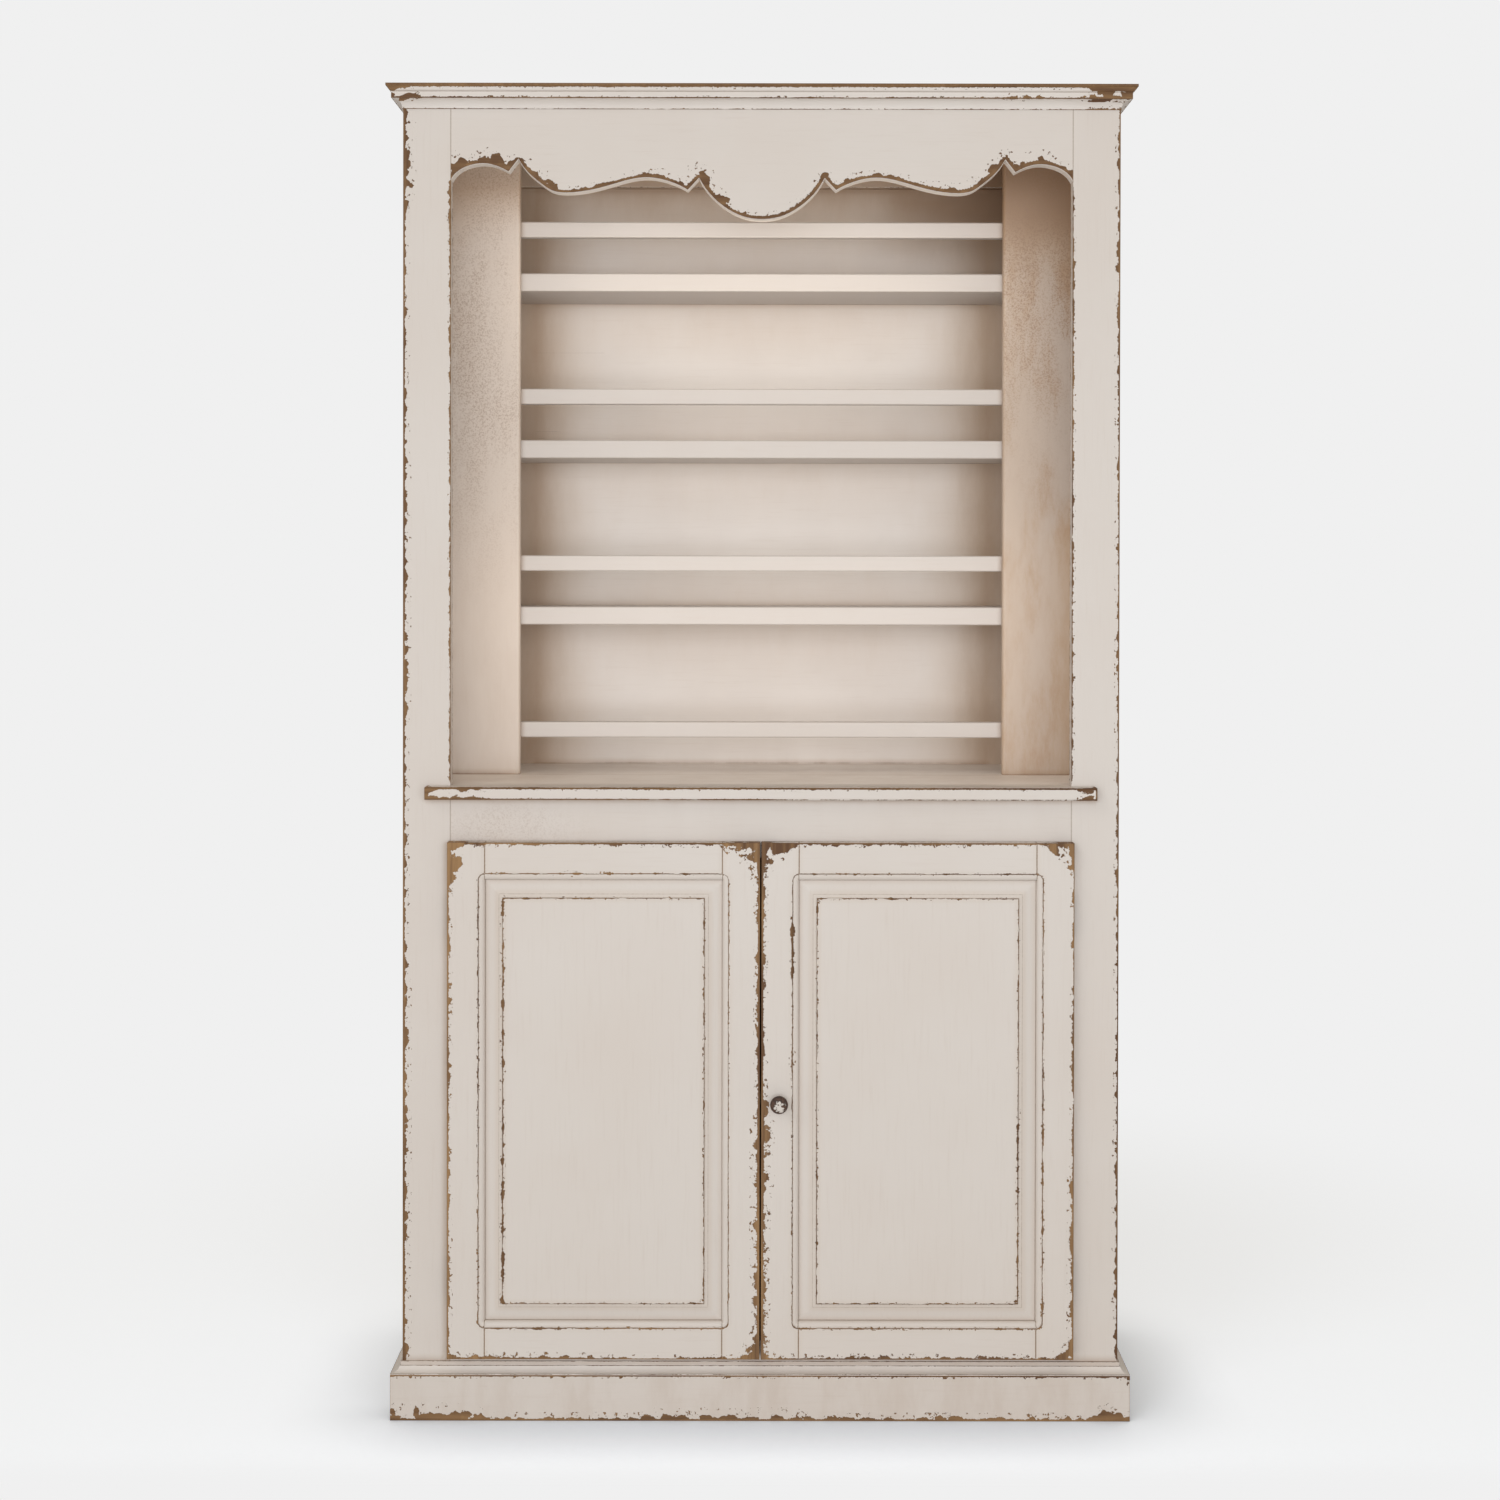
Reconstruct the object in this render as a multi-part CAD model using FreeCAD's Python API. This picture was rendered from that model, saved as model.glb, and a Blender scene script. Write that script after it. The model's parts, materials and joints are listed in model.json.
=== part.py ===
import FreeCAD, Part
import os

Vector = FreeCAD.Vector

# All lengths are in millimetres. X runs along the width, the front faces -Y, Z points up.
# The origin is on the floor, in the middle of the whole cabinet's width and depth.

# Case
cabinet_width = 1130.0
cabinet_height = 2100.0
cabinet_depth = 410.0
side_thickness = 22.0
top_thickness = 18.0
floor_thickness = 18.0
floor_height = 120.0
housing_depth = 6.0

# Back
back_thickness = 12.0
back_rebate = 11.0
upper_board_count = 9
lower_board_count = 7
counter_seam_drop = 9.75
back_board_lap = 8.0
back_seam = 0.6
back_end_clearance = 0.4
batten_height = 75.0
batten_thickness = 20.0

# Face frame
frame_thickness = 25.0
frame_stile_width = 75.0
valance_height = 191.0
scallop_height = 94.0
apron_height = 93.0
tenon_length = 25.0
tenon_shoulder = 12.0
tenon_thickness_share = 1 / 3

# Lower edge of the valance: shares of half the opening, and of the scallop's height
middle_lobe_shares = ((0.0, 0.0), (0.057, 0.040), (0.1225, 0.213), (0.1625, 0.394), (0.202, 0.689))
scallop_shares = (
    ((0.202, 0.689), (0.238, 0.487)),
    (
        (0.238, 0.487), (0.2995, 0.634), (0.3675, 0.697), (0.497, 0.553), (0.6185, 0.439),
        (0.6775, 0.481), (0.704, 0.569), (0.7505, 0.771), (0.7825, 1.0),
    ),
    ((0.7825, 1.0), (0.8145, 0.79)),
    ((0.8145, 0.79), (0.849, 0.878), (0.887, 0.925), (0.9425, 0.886), (0.97, 0.82), (1.0, 0.64)),
)

# Counter
counter_height = 998.0
counter_thickness = 20.0
nosing_depth = 27.0
nosing_lap = 37.0
nosing_radius = 4.0

# Cornice: profile points are shares of the overhang and of the height
cornice_height = 36.0
cornice_overhang = 24.0
cornice_cove_shares = ((0.04, 0.0), (0.16, 0.27), (0.55, 0.40))
cornice_fillet_shares = ((0.68, 0.40), (0.68, 0.69))
cornice_hollow_shares = ((0.68, 0.69), (0.78, 0.715), (0.84, 0.795))
cornice_swell_shares = ((0.84, 0.795), (0.90, 0.875), (1.0, 0.90))

# Plinth: moulding points are shares of the plinth's thickness and of the moulding's height
plinth_height = 72.0
plinth_thickness = 17.0
plinth_moulding_height = 17.0
plinth_cove_shares = ((1.0, 0.09), (0.42, 0.25), (0.20, 0.62))
plinth_fillet_shares = ((0.14, 0.62), (0.14, 1.0))

# Plate rack
rack_setback = 194.0
rack_board_width = 141.0
rack_board_thickness = 22.0
rack_edge_radius = 5.0
plate_shelf_count = 3
top_bay_height = 247.0
shelf_thickness = 30.0
shelf_radius = 2.5
rail_height = 26.0
rail_thickness = 18.0
rail_rise = 60.0
rail_lap = 90.0
rail_radius = 2.5
cleat_height = 25.0
cleat_thickness = 18.0

# Cupboard
cupboard_shelf_height = 500.0
cupboard_shelf_thickness = 18.0
cupboard_shelf_setback = 40.0
block_size = 30.0
block_length = 60.0
block_share = 0.6
block_count = 3

# Doors
door_gap = 0.8
door_thickness = 22.0
door_member_width = 59.0
door_side_lap = 2.0
door_top_lap = 26.0
door_bottom_lap = 21.0
meeting_gap = 2.4
door_tenon_length = 35.0
moulding_width = 10.0
moulding_quirk = 1.5
moulding_radius = 7.0
arc_middle_share = 1 - 0.5 ** 0.5
groove_setback = 9.8
groove_width = 6.0
groove_depth = 10.0
panel_tongue = 8.0
panel_clearance = 0.3
panel_bevel = 28.0
field_setback = 1.5
field_step = 1.5

# Hinges
hinge_height = 64.0
hinge_inset = 120.0
pivot_forward = 6.0
knuckle_radius = 4.0
knuckle_gap = 0.3
knuckle_clearance = 0.5
middle_knuckle_share = 0.4
pin_radius = 2.0
pin_clearance = 0.05
pin_head_radius = 3.2
pin_head_height = 2.0
leaf_thickness = 2.0
leaf_reach = 20.0
leaf_clearance = 0.4
hinge_screw_count = 3
hinge_screw_spacing = 22.0
hinge_screw_offset = 13.0
screw_radius = 1.8
screw_head_radius = 3.4
screw_head_height = 1.6
screw_length = 15.0
screw_point = 3.0

# Knob: radius and reach of the turned profile, as shares of its radius and of its reach
knob_height = 504.0
knob_inset = 28.0
knob_radius = 14.0
knob_reach = 27.0
knob_foot_shares = ((0.62, 0.0), (0.62, 0.09), (0.52, 0.13))
knob_neck_shares = ((0.52, 0.13), (0.36, 0.27), (0.50, 0.42))
knob_head_shares = ((0.50, 0.42), (0.86, 0.50), (1.0, 0.68))
knob_cap_shares = ((1.0, 0.68), (0.82, 0.90), (0.40, 1.0))
knob_screw_radius = 2.0
knob_screw_bite = 10.0
knob_screw_head_radius = 5.0
knob_screw_head_height = 2.5

# Catches and strikes
catch_width = 40.0
catch_height = 14.0
catch_depth = 22.0
catch_from_middle = 60.0
catch_clearance = 0.3
strike_width = 30.0
strike_height = 10.0
strike_thickness = 1.5

# One overrun serves all cuts, and one tolerance picks edges
overrun = 5.0
tolerance = 0.001

# Places worked out from the sizes
half_width = cabinet_width / 2
side_inner = half_width - side_thickness
opening_half = half_width - frame_stile_width
case_top = cabinet_height - top_thickness
counter_under = counter_height - counter_thickness
apron_bottom = counter_under - apron_height
floor_under = floor_height - floor_thickness

front_reach = door_gap + door_thickness + knob_reach
front_y = (front_reach - cabinet_depth) / 2
frame_back = front_y + frame_thickness
back_y = front_y + cabinet_depth
back_inner = back_y - back_thickness
rack_front = front_y + rack_setback
rack_back = rack_front + rack_board_thickness
rack_inner = side_inner - rack_board_width

door_back = front_y - door_gap
door_front = door_back - door_thickness
door_x = (meeting_gap / 2, opening_half + door_side_lap)
door_z = (floor_height - door_bottom_lap, apron_bottom + door_top_lap)
sight_x = (door_x[0] + door_member_width, door_x[1] - door_member_width)
sight_z = (door_z[0] + door_member_width, door_z[1] - door_member_width)
groove_front = door_front + groove_setback
groove_back = groove_front + groove_width
hinge_centres = (door_z[0] + hinge_inset, door_z[1] - hinge_inset)
pivot_y = front_y - pivot_forward


# Shared shapes
def board(x_span, y_span, z_span):
    """A rectangular board between two places along each axis."""
    corner = Vector(x_span[0], y_span[0], z_span[0])
    return Part.makeBox(x_span[1] - x_span[0], y_span[1] - y_span[0], z_span[1] - z_span[0], corner)


def both_ways(reach):
    """A span as far to the left as to the right."""
    return (-reach, reach)


def middle(span):
    return (span[0] + span[1]) / 2


def centred(place, length):
    """A span of a given length around a place."""
    return (place - length / 2, place + length / 2)


def widened(span, margin):
    return (span[0] - margin, span[1] + margin)


def mirrored(shape):
    """The left-hand copy of a right-hand shape."""
    return shape.mirror(Vector(0, 0, 0), Vector(1, 0, 0))


def joined(shapes):
    """One solid from shapes that meet."""
    return shapes[0].fuse(shapes[1:]).removeSplitter().Solids[0]


def trimmed(shape, tools):
    return shape.cut(tools).Solids[0]


def flat_edges(shape, **places):
    """The edges of a shape that lie wholly at the given coordinates."""
    found = []
    for edge in shape.Edges:
        bounds = edge.BoundBox
        reach = {
            "x": (bounds.XMin, bounds.XMax),
            "y": (bounds.YMin, bounds.YMax),
            "z": (bounds.ZMin, bounds.ZMax),
        }
        offsets = [abs(end - place) for axis, place in places.items() for end in reach[axis]]
        if max(offsets) < tolerance:
            found.append(edge)
    return found


def line(start, end):
    return Part.LineSegment(start, end).toShape()


def arc(points):
    return Part.Arc(*points).toShape()


def curve(points):
    """A smooth curve through points, or a straight edge between two."""
    if len(points) == 2:
        return line(*points)
    spline = Part.BSplineCurve()
    spline.interpolate(points)
    return spline.toShape()


def face_of(edges):
    return Part.Face(Part.Wire(edges))


def polygon(points):
    return Part.makePolygon(list(points) + [points[0]])


def cylinder(radius, start, along):
    return Part.makeCylinder(radius, along.Length, start, along)


# Case
def side_panel():
    """Right side, rebated for the back and housed for the counter and the floor."""
    panel = board((side_inner, half_width), (frame_back, back_y), (0, case_top))
    rebate = board(
        (side_inner - overrun, side_inner + back_rebate),
        (back_inner, back_y + overrun),
        (-overrun, case_top + overrun),
    )
    housing_x = (side_inner - overrun, side_inner + housing_depth)
    housing_y = (frame_back - overrun, back_inner)
    housings = [
        board(housing_x, housing_y, (counter_under, counter_height)),
        board(housing_x, housing_y, (floor_under, floor_height)),
    ]
    return trimmed(panel, [rebate] + housings)


def floor_board():
    z_span = (floor_under, floor_height)
    return board(both_ways(side_inner + housing_depth), (frame_back, back_inner), z_span)


def top_board():
    return board(both_ways(half_width), (front_y, back_y), (case_top, cabinet_height))


def counter_board():
    """Between the stiles at the front, and housed in the sides behind them."""
    z_span = (counter_under, counter_height)
    behind = board(both_ways(side_inner + housing_depth), (frame_back, back_inner), z_span)
    between = board(both_ways(opening_half), (front_y, frame_back), z_span)
    return joined([behind, between])


def counter_nosing():
    nosing_front = front_y - nosing_depth
    z_span = (counter_under, counter_height)
    strip = board(both_ways(opening_half + nosing_lap), (nosing_front, front_y), z_span)
    upper = flat_edges(strip, y=nosing_front, z=counter_height)
    lower = flat_edges(strip, y=nosing_front, z=counter_under)
    return strip.makeFillet(nosing_radius, upper + lower).Solids[0]


# Back
def back_seams():
    """Heights of the back boards' ends from the top down: equal boards above and below the counter's seam."""
    counter_seam = counter_under - counter_seam_drop
    upper_pitch = (case_top - counter_seam) / upper_board_count
    lower_pitch = (counter_seam - floor_under) / lower_board_count
    upper = [case_top - index * upper_pitch for index in range(upper_board_count)]
    lower = [counter_seam - index * lower_pitch for index in range(lower_board_count)]
    return upper + lower + [floor_under]


def back_boards():
    """Horizontal shiplap boards from the top down, the uppermost first."""
    seams = back_seams()
    x_span = both_ways(side_inner + back_rebate - back_end_clearance)
    half_y = middle((back_inner, back_y))
    boards = []
    for index, (top, bottom) in enumerate(zip(seams, seams[1:])):
        is_last = bottom == floor_under
        front_half = board(x_span, (back_inner, half_y), (bottom + (0 if is_last else back_seam), top))
        lap_top = top if index == 0 else top - back_board_lap - back_seam
        lap_bottom = bottom if is_last else bottom - back_board_lap
        back_half = board(x_span, (half_y, back_y), (lap_bottom, lap_top))
        boards.append(joined([front_half, back_half]))
    return boards


def back_top_batten():
    z_span = (case_top - batten_height, case_top)
    return board(both_ways(side_inner), (back_inner - batten_thickness, back_inner), z_span)


# Face frame
valance_z = (case_top - valance_height, case_top)
apron_z = (apron_bottom, counter_under)
bottom_rail_z = (0, floor_height)
frame_tenon_z = (
    (valance_z[0] + scallop_height + tenon_shoulder, case_top - tenon_shoulder),
    (apron_z[0] + tenon_shoulder, apron_z[1] - tenon_shoulder),
    (bottom_rail_z[0] + tenon_shoulder, bottom_rail_z[1] - tenon_shoulder),
)


def frame_tenon(z_span):
    """Right-hand tenon of a frame rail, and the shape of its mortise."""
    y_span = centred(middle((front_y, frame_back)), frame_thickness * tenon_thickness_share)
    return board((opening_half, opening_half + tenon_length), y_span, z_span)


def with_frame_tenons(rail, tenon_z):
    tenon = frame_tenon(tenon_z)
    return joined([rail, tenon, mirrored(tenon)])


def scallop_edges():
    """The valance's lower edge, from left to right."""

    def place(shares, side):
        return Vector(side * shares[0] * opening_half, front_y, valance_z[0] + shares[1] * scallop_height)

    def placed(stretch, side):
        return [place(shares, side) for shares in stretch]

    right = [curve(placed(stretch, 1)) for stretch in scallop_shares]
    left = [curve(placed(reversed(stretch), -1)) for stretch in reversed(scallop_shares)]
    lobe = placed(reversed(middle_lobe_shares), -1) + placed(middle_lobe_shares[1:], 1)
    return left + [curve(lobe)] + right


def valance_board():
    end_z = valance_z[0] + scallop_shares[-1][-1][1] * scallop_height
    low_left = Vector(-opening_half, front_y, end_z)
    low_right = Vector(opening_half, front_y, end_z)
    top_left = Vector(-opening_half, front_y, case_top)
    top_right = Vector(opening_half, front_y, case_top)
    rim = [line(low_right, top_right), line(top_right, top_left), line(top_left, low_left)]
    plank = face_of(scallop_edges() + rim).extrude(Vector(0, frame_thickness, 0))
    return with_frame_tenons(plank, frame_tenon_z[0])


def apron_rail():
    rail = board(both_ways(opening_half), (front_y, frame_back), apron_z)
    return with_frame_tenons(rail, frame_tenon_z[1])


def bottom_rail():
    rail = board(both_ways(opening_half), (front_y, frame_back), bottom_rail_z)
    return with_frame_tenons(rail, frame_tenon_z[2])


def frame_stile():
    """Right stile with its mortises and the holes for the hinge screws."""
    stile = board((opening_half, half_width), (front_y, frame_back), (0, case_top))
    holes = [screw_hole(*placed) for placed in frame_screw_places()]
    return trimmed(stile, [frame_tenon(z_span) for z_span in frame_tenon_z] + holes)


# Strips that go round the front and both sides, mitred at the corners
def mitred_strips(edges_at, base, height, depth):
    """Front, right and left strips of one profile, with mitres at the front corners."""
    reach = depth + overrun
    rise = Vector(0, 0, height + 2 * overrun)
    low = base - overrun
    inner_right = Vector(half_width, front_y, low)
    outer_right = Vector(half_width + reach, front_y - reach, low)
    inner_left = Vector(-half_width, front_y, low)
    outer_left = Vector(-half_width - reach, front_y - reach, low)
    front_region = Part.Face(polygon([inner_left, inner_right, outer_right, outer_left])).extrude(rise)
    side_outline = [
        inner_right,
        outer_right,
        Vector(half_width + reach, back_y, low),
        Vector(half_width, back_y, low),
    ]
    side_region = Part.Face(polygon(side_outline)).extrude(rise)

    def front_place(out, up):
        return Vector(-half_width - reach, front_y - out, base + up)

    def side_place(out, up):
        return Vector(half_width + out, front_y - reach, base + up)

    front_run = face_of(edges_at(front_place)).extrude(Vector(2 * (half_width + reach), 0, 0))
    side_run = face_of(edges_at(side_place)).extrude(Vector(0, back_y - front_y + reach, 0))
    front = front_run.common(front_region).Solids[0]
    right = side_run.common(side_region).Solids[0]
    return front, right, mirrored(right)


def cornice_edges(place):
    """Cove, fillet, hollow, swell and lip, from the bottom of the cornice up."""

    def at(shares):
        return place(shares[0] * cornice_overhang, shares[1] * cornice_height)

    cove = [at(shares) for shares in cornice_cove_shares]
    fillet = [at(shares) for shares in cornice_fillet_shares]
    hollow = [at(shares) for shares in cornice_hollow_shares]
    swell = [at(shares) for shares in cornice_swell_shares]
    lip_top = place(cornice_overhang, cornice_height)
    inner_top = place(0, cornice_height)
    inner_foot = place(0, 0)
    return [
        line(inner_foot, cove[0]),
        arc(cove),
        line(cove[2], fillet[0]),
        line(*fillet),
        arc(hollow),
        arc(swell),
        line(swell[2], lip_top),
        line(lip_top, inner_top),
        line(inner_top, inner_foot),
    ]


def plinth_edges(place):
    outline = [place(0, 0), place(plinth_thickness, 0)]
    outline += [place(plinth_thickness, plinth_height), place(0, plinth_height)]
    return polygon(outline).Edges


def plinth_moulding_edges(place):
    """Cove and fillet on top of the plinth."""

    def at(shares):
        return place(shares[0] * plinth_thickness, shares[1] * plinth_moulding_height)

    cove = [at(shares) for shares in plinth_cove_shares]
    fillet = [at(shares) for shares in plinth_fillet_shares]
    inner_top = place(0, plinth_moulding_height)
    return [
        line(place(0, 0), place(plinth_thickness, 0)),
        line(place(plinth_thickness, 0), cove[0]),
        arc(cove),
        line(cove[2], fillet[0]),
        line(*fillet),
        line(fillet[1], inner_top),
        line(inner_top, place(0, 0)),
    ]


def cornice_strips():
    return mitred_strips(cornice_edges, cabinet_height - cornice_height, cornice_height, cornice_overhang)


def plinth_strips():
    return mitred_strips(plinth_edges, 0, plinth_height, plinth_thickness)


def plinth_moulding_strips():
    return mitred_strips(plinth_moulding_edges, plinth_height, plinth_moulding_height, plinth_thickness)


# Plate rack
def rack_board():
    """Right rack board, with its inner edge rounded."""
    plank = board((rack_inner, side_inner), (rack_front, rack_back), (counter_height, case_top))
    front_edge = flat_edges(plank, x=rack_inner, y=rack_front)
    back_edge = flat_edges(plank, x=rack_inner, y=rack_back)
    return plank.makeFillet(rack_edge_radius, front_edge + back_edge).Solids[0]


def plate_shelf(top):
    shelf = board(both_ways(side_inner), (rack_back, back_inner), (top - shelf_thickness, top))
    upper = flat_edges(shelf, y=rack_back, z=top)
    lower = flat_edges(shelf, y=rack_back, z=top - shelf_thickness)
    return shelf.makeFillet(shelf_radius, upper + lower).Solids[0]


def plate_rail(level):
    """Rail across the backs of the rack boards, above the shelf at the given level."""
    bottom = level + rail_rise
    top = bottom + rail_height
    rail = board(both_ways(rack_inner + rail_lap), (rack_back, rack_back + rail_thickness), (bottom, top))
    upper = flat_edges(rail, y=rack_back, z=top)
    lower = flat_edges(rail, y=rack_back, z=bottom)
    return rail.makeFillet(rail_radius, upper + lower).Solids[0]


def cleat_pair(under, y_span):
    """A cleat on each side that carries a shelf's two ends."""
    cleat = board((side_inner - cleat_thickness, side_inner), y_span, (under - cleat_height, under))
    return [cleat, mirrored(cleat)]


shelf_pitch = (case_top - top_bay_height - counter_height) / plate_shelf_count
shelf_tops = [counter_height + (index + 1) * shelf_pitch for index in range(plate_shelf_count)]


def shelf_cleats():
    cleats = []
    for top in shelf_tops:
        cleats += cleat_pair(top - shelf_thickness, (rack_back, back_inner))
    return cleats


# Cupboard
cupboard_shelf_y = (frame_back + cupboard_shelf_setback, back_inner)


def cupboard_shelf():
    z_span = (cupboard_shelf_height - cupboard_shelf_thickness, cupboard_shelf_height)
    return board(both_ways(side_inner), cupboard_shelf_y, z_span)


def cupboard_cleats():
    return cleat_pair(cupboard_shelf_height - cupboard_shelf_thickness, cupboard_shelf_y)


def glue_blocks():
    """Blocks in the corner under the floor board, behind the bottom rail."""
    step = 2 * opening_half * block_share / (block_count - 1)
    first = -opening_half * block_share
    return [
        board(
            centred(first + index * step, block_length),
            (frame_back, frame_back + block_size),
            (floor_under - block_size, floor_under),
        )
        for index in range(block_count)
    ]


# Screws
def screw(seat, inward):
    """Countersunk screw whose head is flush at the seat, pointing inward."""
    head = Part.makeCone(screw_head_radius, screw_radius, screw_head_height, seat, inward)
    shank_length = screw_length - screw_head_height - screw_point
    shank_start = seat + inward * screw_head_height
    shank = Part.makeCylinder(screw_radius, shank_length, shank_start, inward)
    point = Part.makeCone(screw_radius, 0, screw_point, shank_start + inward * shank_length, inward)
    return joined([head, shank, point])


def screw_hole(seat, inward):
    """The space that a screw fills."""
    return screw(seat, inward)


def screw_heights():
    """Heights of all the screws of one door's hinges."""
    first = -(hinge_screw_count - 1) / 2 * hinge_screw_spacing
    return [
        centre + first + index * hinge_screw_spacing
        for centre in hinge_centres
        for index in range(hinge_screw_count)
    ]


def frame_screw_places():
    """Seat and direction of the screws from the frame leaves into the right stile."""
    seat_x = opening_half - leaf_thickness
    return [(Vector(seat_x, front_y + hinge_screw_offset, z), Vector(1, 0, 0)) for z in screw_heights()]


def door_screw_places():
    """Seat and direction of the screws from the door leaves into the right door."""
    seat_x = opening_half - knuckle_radius - hinge_screw_offset
    return [(Vector(seat_x, door_back, z), Vector(0, -1, 0)) for z in screw_heights()]


# Hinges of the right door
def knuckle_spans(centre):
    """Lower, middle and upper knuckle of one hinge, the middle one on the door leaf."""
    low, high = centred(centre, hinge_height)
    inner_low, inner_high = centred(centre, hinge_height * middle_knuckle_share)
    return (low, inner_low - knuckle_gap), (inner_low, inner_high), (inner_high + knuckle_gap, high)


def knuckle(z_span, bore_radius):
    start = Vector(opening_half, pivot_y, z_span[0])
    along = Vector(0, 0, z_span[1] - z_span[0])
    return cylinder(knuckle_radius, start, along), cylinder(bore_radius, start, along)


def frame_leaf(centre):
    """Leaf on the stile's inner edge, with the outer knuckles that hold the pin."""
    spans = knuckle_spans(centre)
    lower = spans[0]
    upper = spans[2]
    plate = board(
        (opening_half - leaf_thickness, opening_half),
        (pivot_y, front_y + leaf_reach),
        centred(centre, hinge_height),
    )
    relief = board(
        (opening_half - leaf_thickness - overrun, opening_half + overrun),
        (pivot_y - overrun, pivot_y + knuckle_radius + leaf_clearance),
        (lower[1], upper[0]),
    )
    plate = trimmed(plate, [relief])
    barrels = [knuckle(span, pin_radius) for span in (lower, upper)]
    solid = joined([plate] + [barrel for barrel, bore in barrels])
    screws = [screw_hole(*placed) for placed in frame_screw_places()]
    return trimmed(solid, [bore for barrel, bore in barrels] + screws)


def door_leaf(centre):
    """Leaf let into the door's back, with the middle knuckle that turns on the pin."""
    inner = knuckle_spans(centre)[1]
    wood_x = opening_half - knuckle_radius - knuckle_clearance
    plate = board(
        (opening_half - knuckle_radius - leaf_reach, wood_x),
        (door_back - leaf_thickness, door_back),
        centred(centre, hinge_height),
    )
    web = board((wood_x, opening_half - leaf_thickness - knuckle_clearance), (pivot_y, door_back), inner)
    barrel, bore = knuckle(inner, pin_radius + pin_clearance)
    screws = [screw_hole(*placed) for placed in door_screw_places()]
    return trimmed(joined([plate, web, barrel]), [bore] + screws)


def hinge_pin(centre):
    """Pin through all the knuckles, with a flat head on the upper one."""
    low, high = centred(centre, hinge_height)
    up = Vector(0, 0, 1)
    shaft = Part.makeCylinder(pin_radius, hinge_height, Vector(opening_half, pivot_y, low), up)
    head = Part.makeCylinder(pin_head_radius, pin_head_height, Vector(opening_half, pivot_y, high), up)
    return joined([shaft, head])


def hinge_recesses():
    """What the hinges need cut from the back of the right door's hinge stile."""
    wood_x = opening_half - knuckle_radius - knuckle_clearance
    cuts = []
    for centre in hinge_centres:
        z_span = centred(centre, hinge_height)
        notch_z = (z_span[0] - knuckle_clearance, z_span[1] + pin_head_height + knuckle_clearance)
        notch_y = (pivot_y - knuckle_radius - knuckle_clearance, door_back + overrun)
        cuts.append(board((wood_x, door_x[1] + overrun), notch_y, notch_z))
        leaf_x = (opening_half - knuckle_radius - leaf_reach, wood_x)
        cuts.append(board(leaf_x, (door_back - leaf_thickness, door_back + overrun), z_span))
    return cuts + [screw_hole(*placed) for placed in door_screw_places()]


# Doors, modelled as the right one and mirrored
def moulding_face(corner, outward):
    """Section cut from a door member: a quirk, then a quarter round down to the sight line."""
    inward = Vector(0, 1, 0)
    near = moulding_radius * arc_middle_share

    def at(out, depth):
        return corner + outward * out + inward * depth

    foot = at(0, moulding_quirk + moulding_radius)
    head = at(moulding_radius, moulding_quirk)
    step = at(moulding_width, moulding_quirk)
    open_outer = at(moulding_width, -overrun)
    open_inner = at(0, -overrun)
    return face_of([
        arc([foot, at(near, moulding_quirk + near), head]),
        line(head, step),
        line(step, open_outer),
        line(open_outer, open_inner),
        line(open_inner, foot),
    ])


def turned(section, centre):
    """A full turn of a section round an axis from front to back."""
    return section.revolve(centre, Vector(0, 1, 0), 360).Solids[0]


def stile_moulding():
    """A straight run on the hinge side, and a turn round each corner of the panel's opening."""
    low = Vector(sight_x[1], door_front, sight_z[0])
    high = Vector(sight_x[1], door_front, sight_z[1])
    outward = Vector(1, 0, 0)
    run = moulding_face(low, outward).extrude(high - low)
    return [run, turned(moulding_face(high, outward), high), turned(moulding_face(low, outward), low)]


def rail_moulding(z, outward):
    start = Vector(sight_x[0], door_front, z)
    return [moulding_face(start, Vector(0, 0, outward)).extrude(Vector(sight_x[1] - sight_x[0], 0, 0))]


def panel_groove():
    """Space for the panel's edges in all four members of the door's frame."""
    return board(widened(sight_x, groove_depth), (groove_front, groove_back), widened(sight_z, groove_depth))


def rail_spans():
    """Heights of the door's bottom and top rails."""
    return (door_z[0], sight_z[0]), (sight_z[1], door_z[1])


def door_tenons():
    """Tenons of both rails at both ends, and the shapes of their mortises."""
    tenons = []
    for z_span in rail_spans():
        tenon_z = widened(z_span, -tenon_shoulder)
        for x, reach in ((sight_x[0], -door_tenon_length), (sight_x[1], door_tenon_length)):
            tenons.append(board(sorted((x, x + reach)), (groove_front, groove_back), tenon_z))
    return tenons


def door_rail(z_span, sight_line, outward):
    rail = board(sight_x, (door_front, door_back), z_span)
    rail = trimmed(rail, rail_moulding(sight_line, outward) + [panel_groove()])
    tenons = [tenon for tenon in door_tenons() if z_span[0] < tenon.CenterOfMass.z < z_span[1]]
    return joined([rail] + tenons)


def moulded_stile():
    """A stile on the hinge side, with its moulding, groove and mortises."""
    stile = board((sight_x[1], door_x[1]), (door_front, door_back), door_z)
    return trimmed(stile, stile_moulding() + [panel_groove()] + door_tenons())


def hinge_stile():
    return trimmed(moulded_stile(), hinge_recesses())


def meeting_stile():
    """The same stile, mirrored about the panel's middle."""
    return moulded_stile().mirror(Vector(sum(sight_x) / 2, 0, 0), Vector(1, 0, 0))


def rectangle(x_span, y, z_span):
    low = [Vector(x, y, z_span[0]) for x in x_span]
    high = [Vector(x, y, z_span[1]) for x in reversed(x_span)]
    return polygon(low + high)


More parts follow.
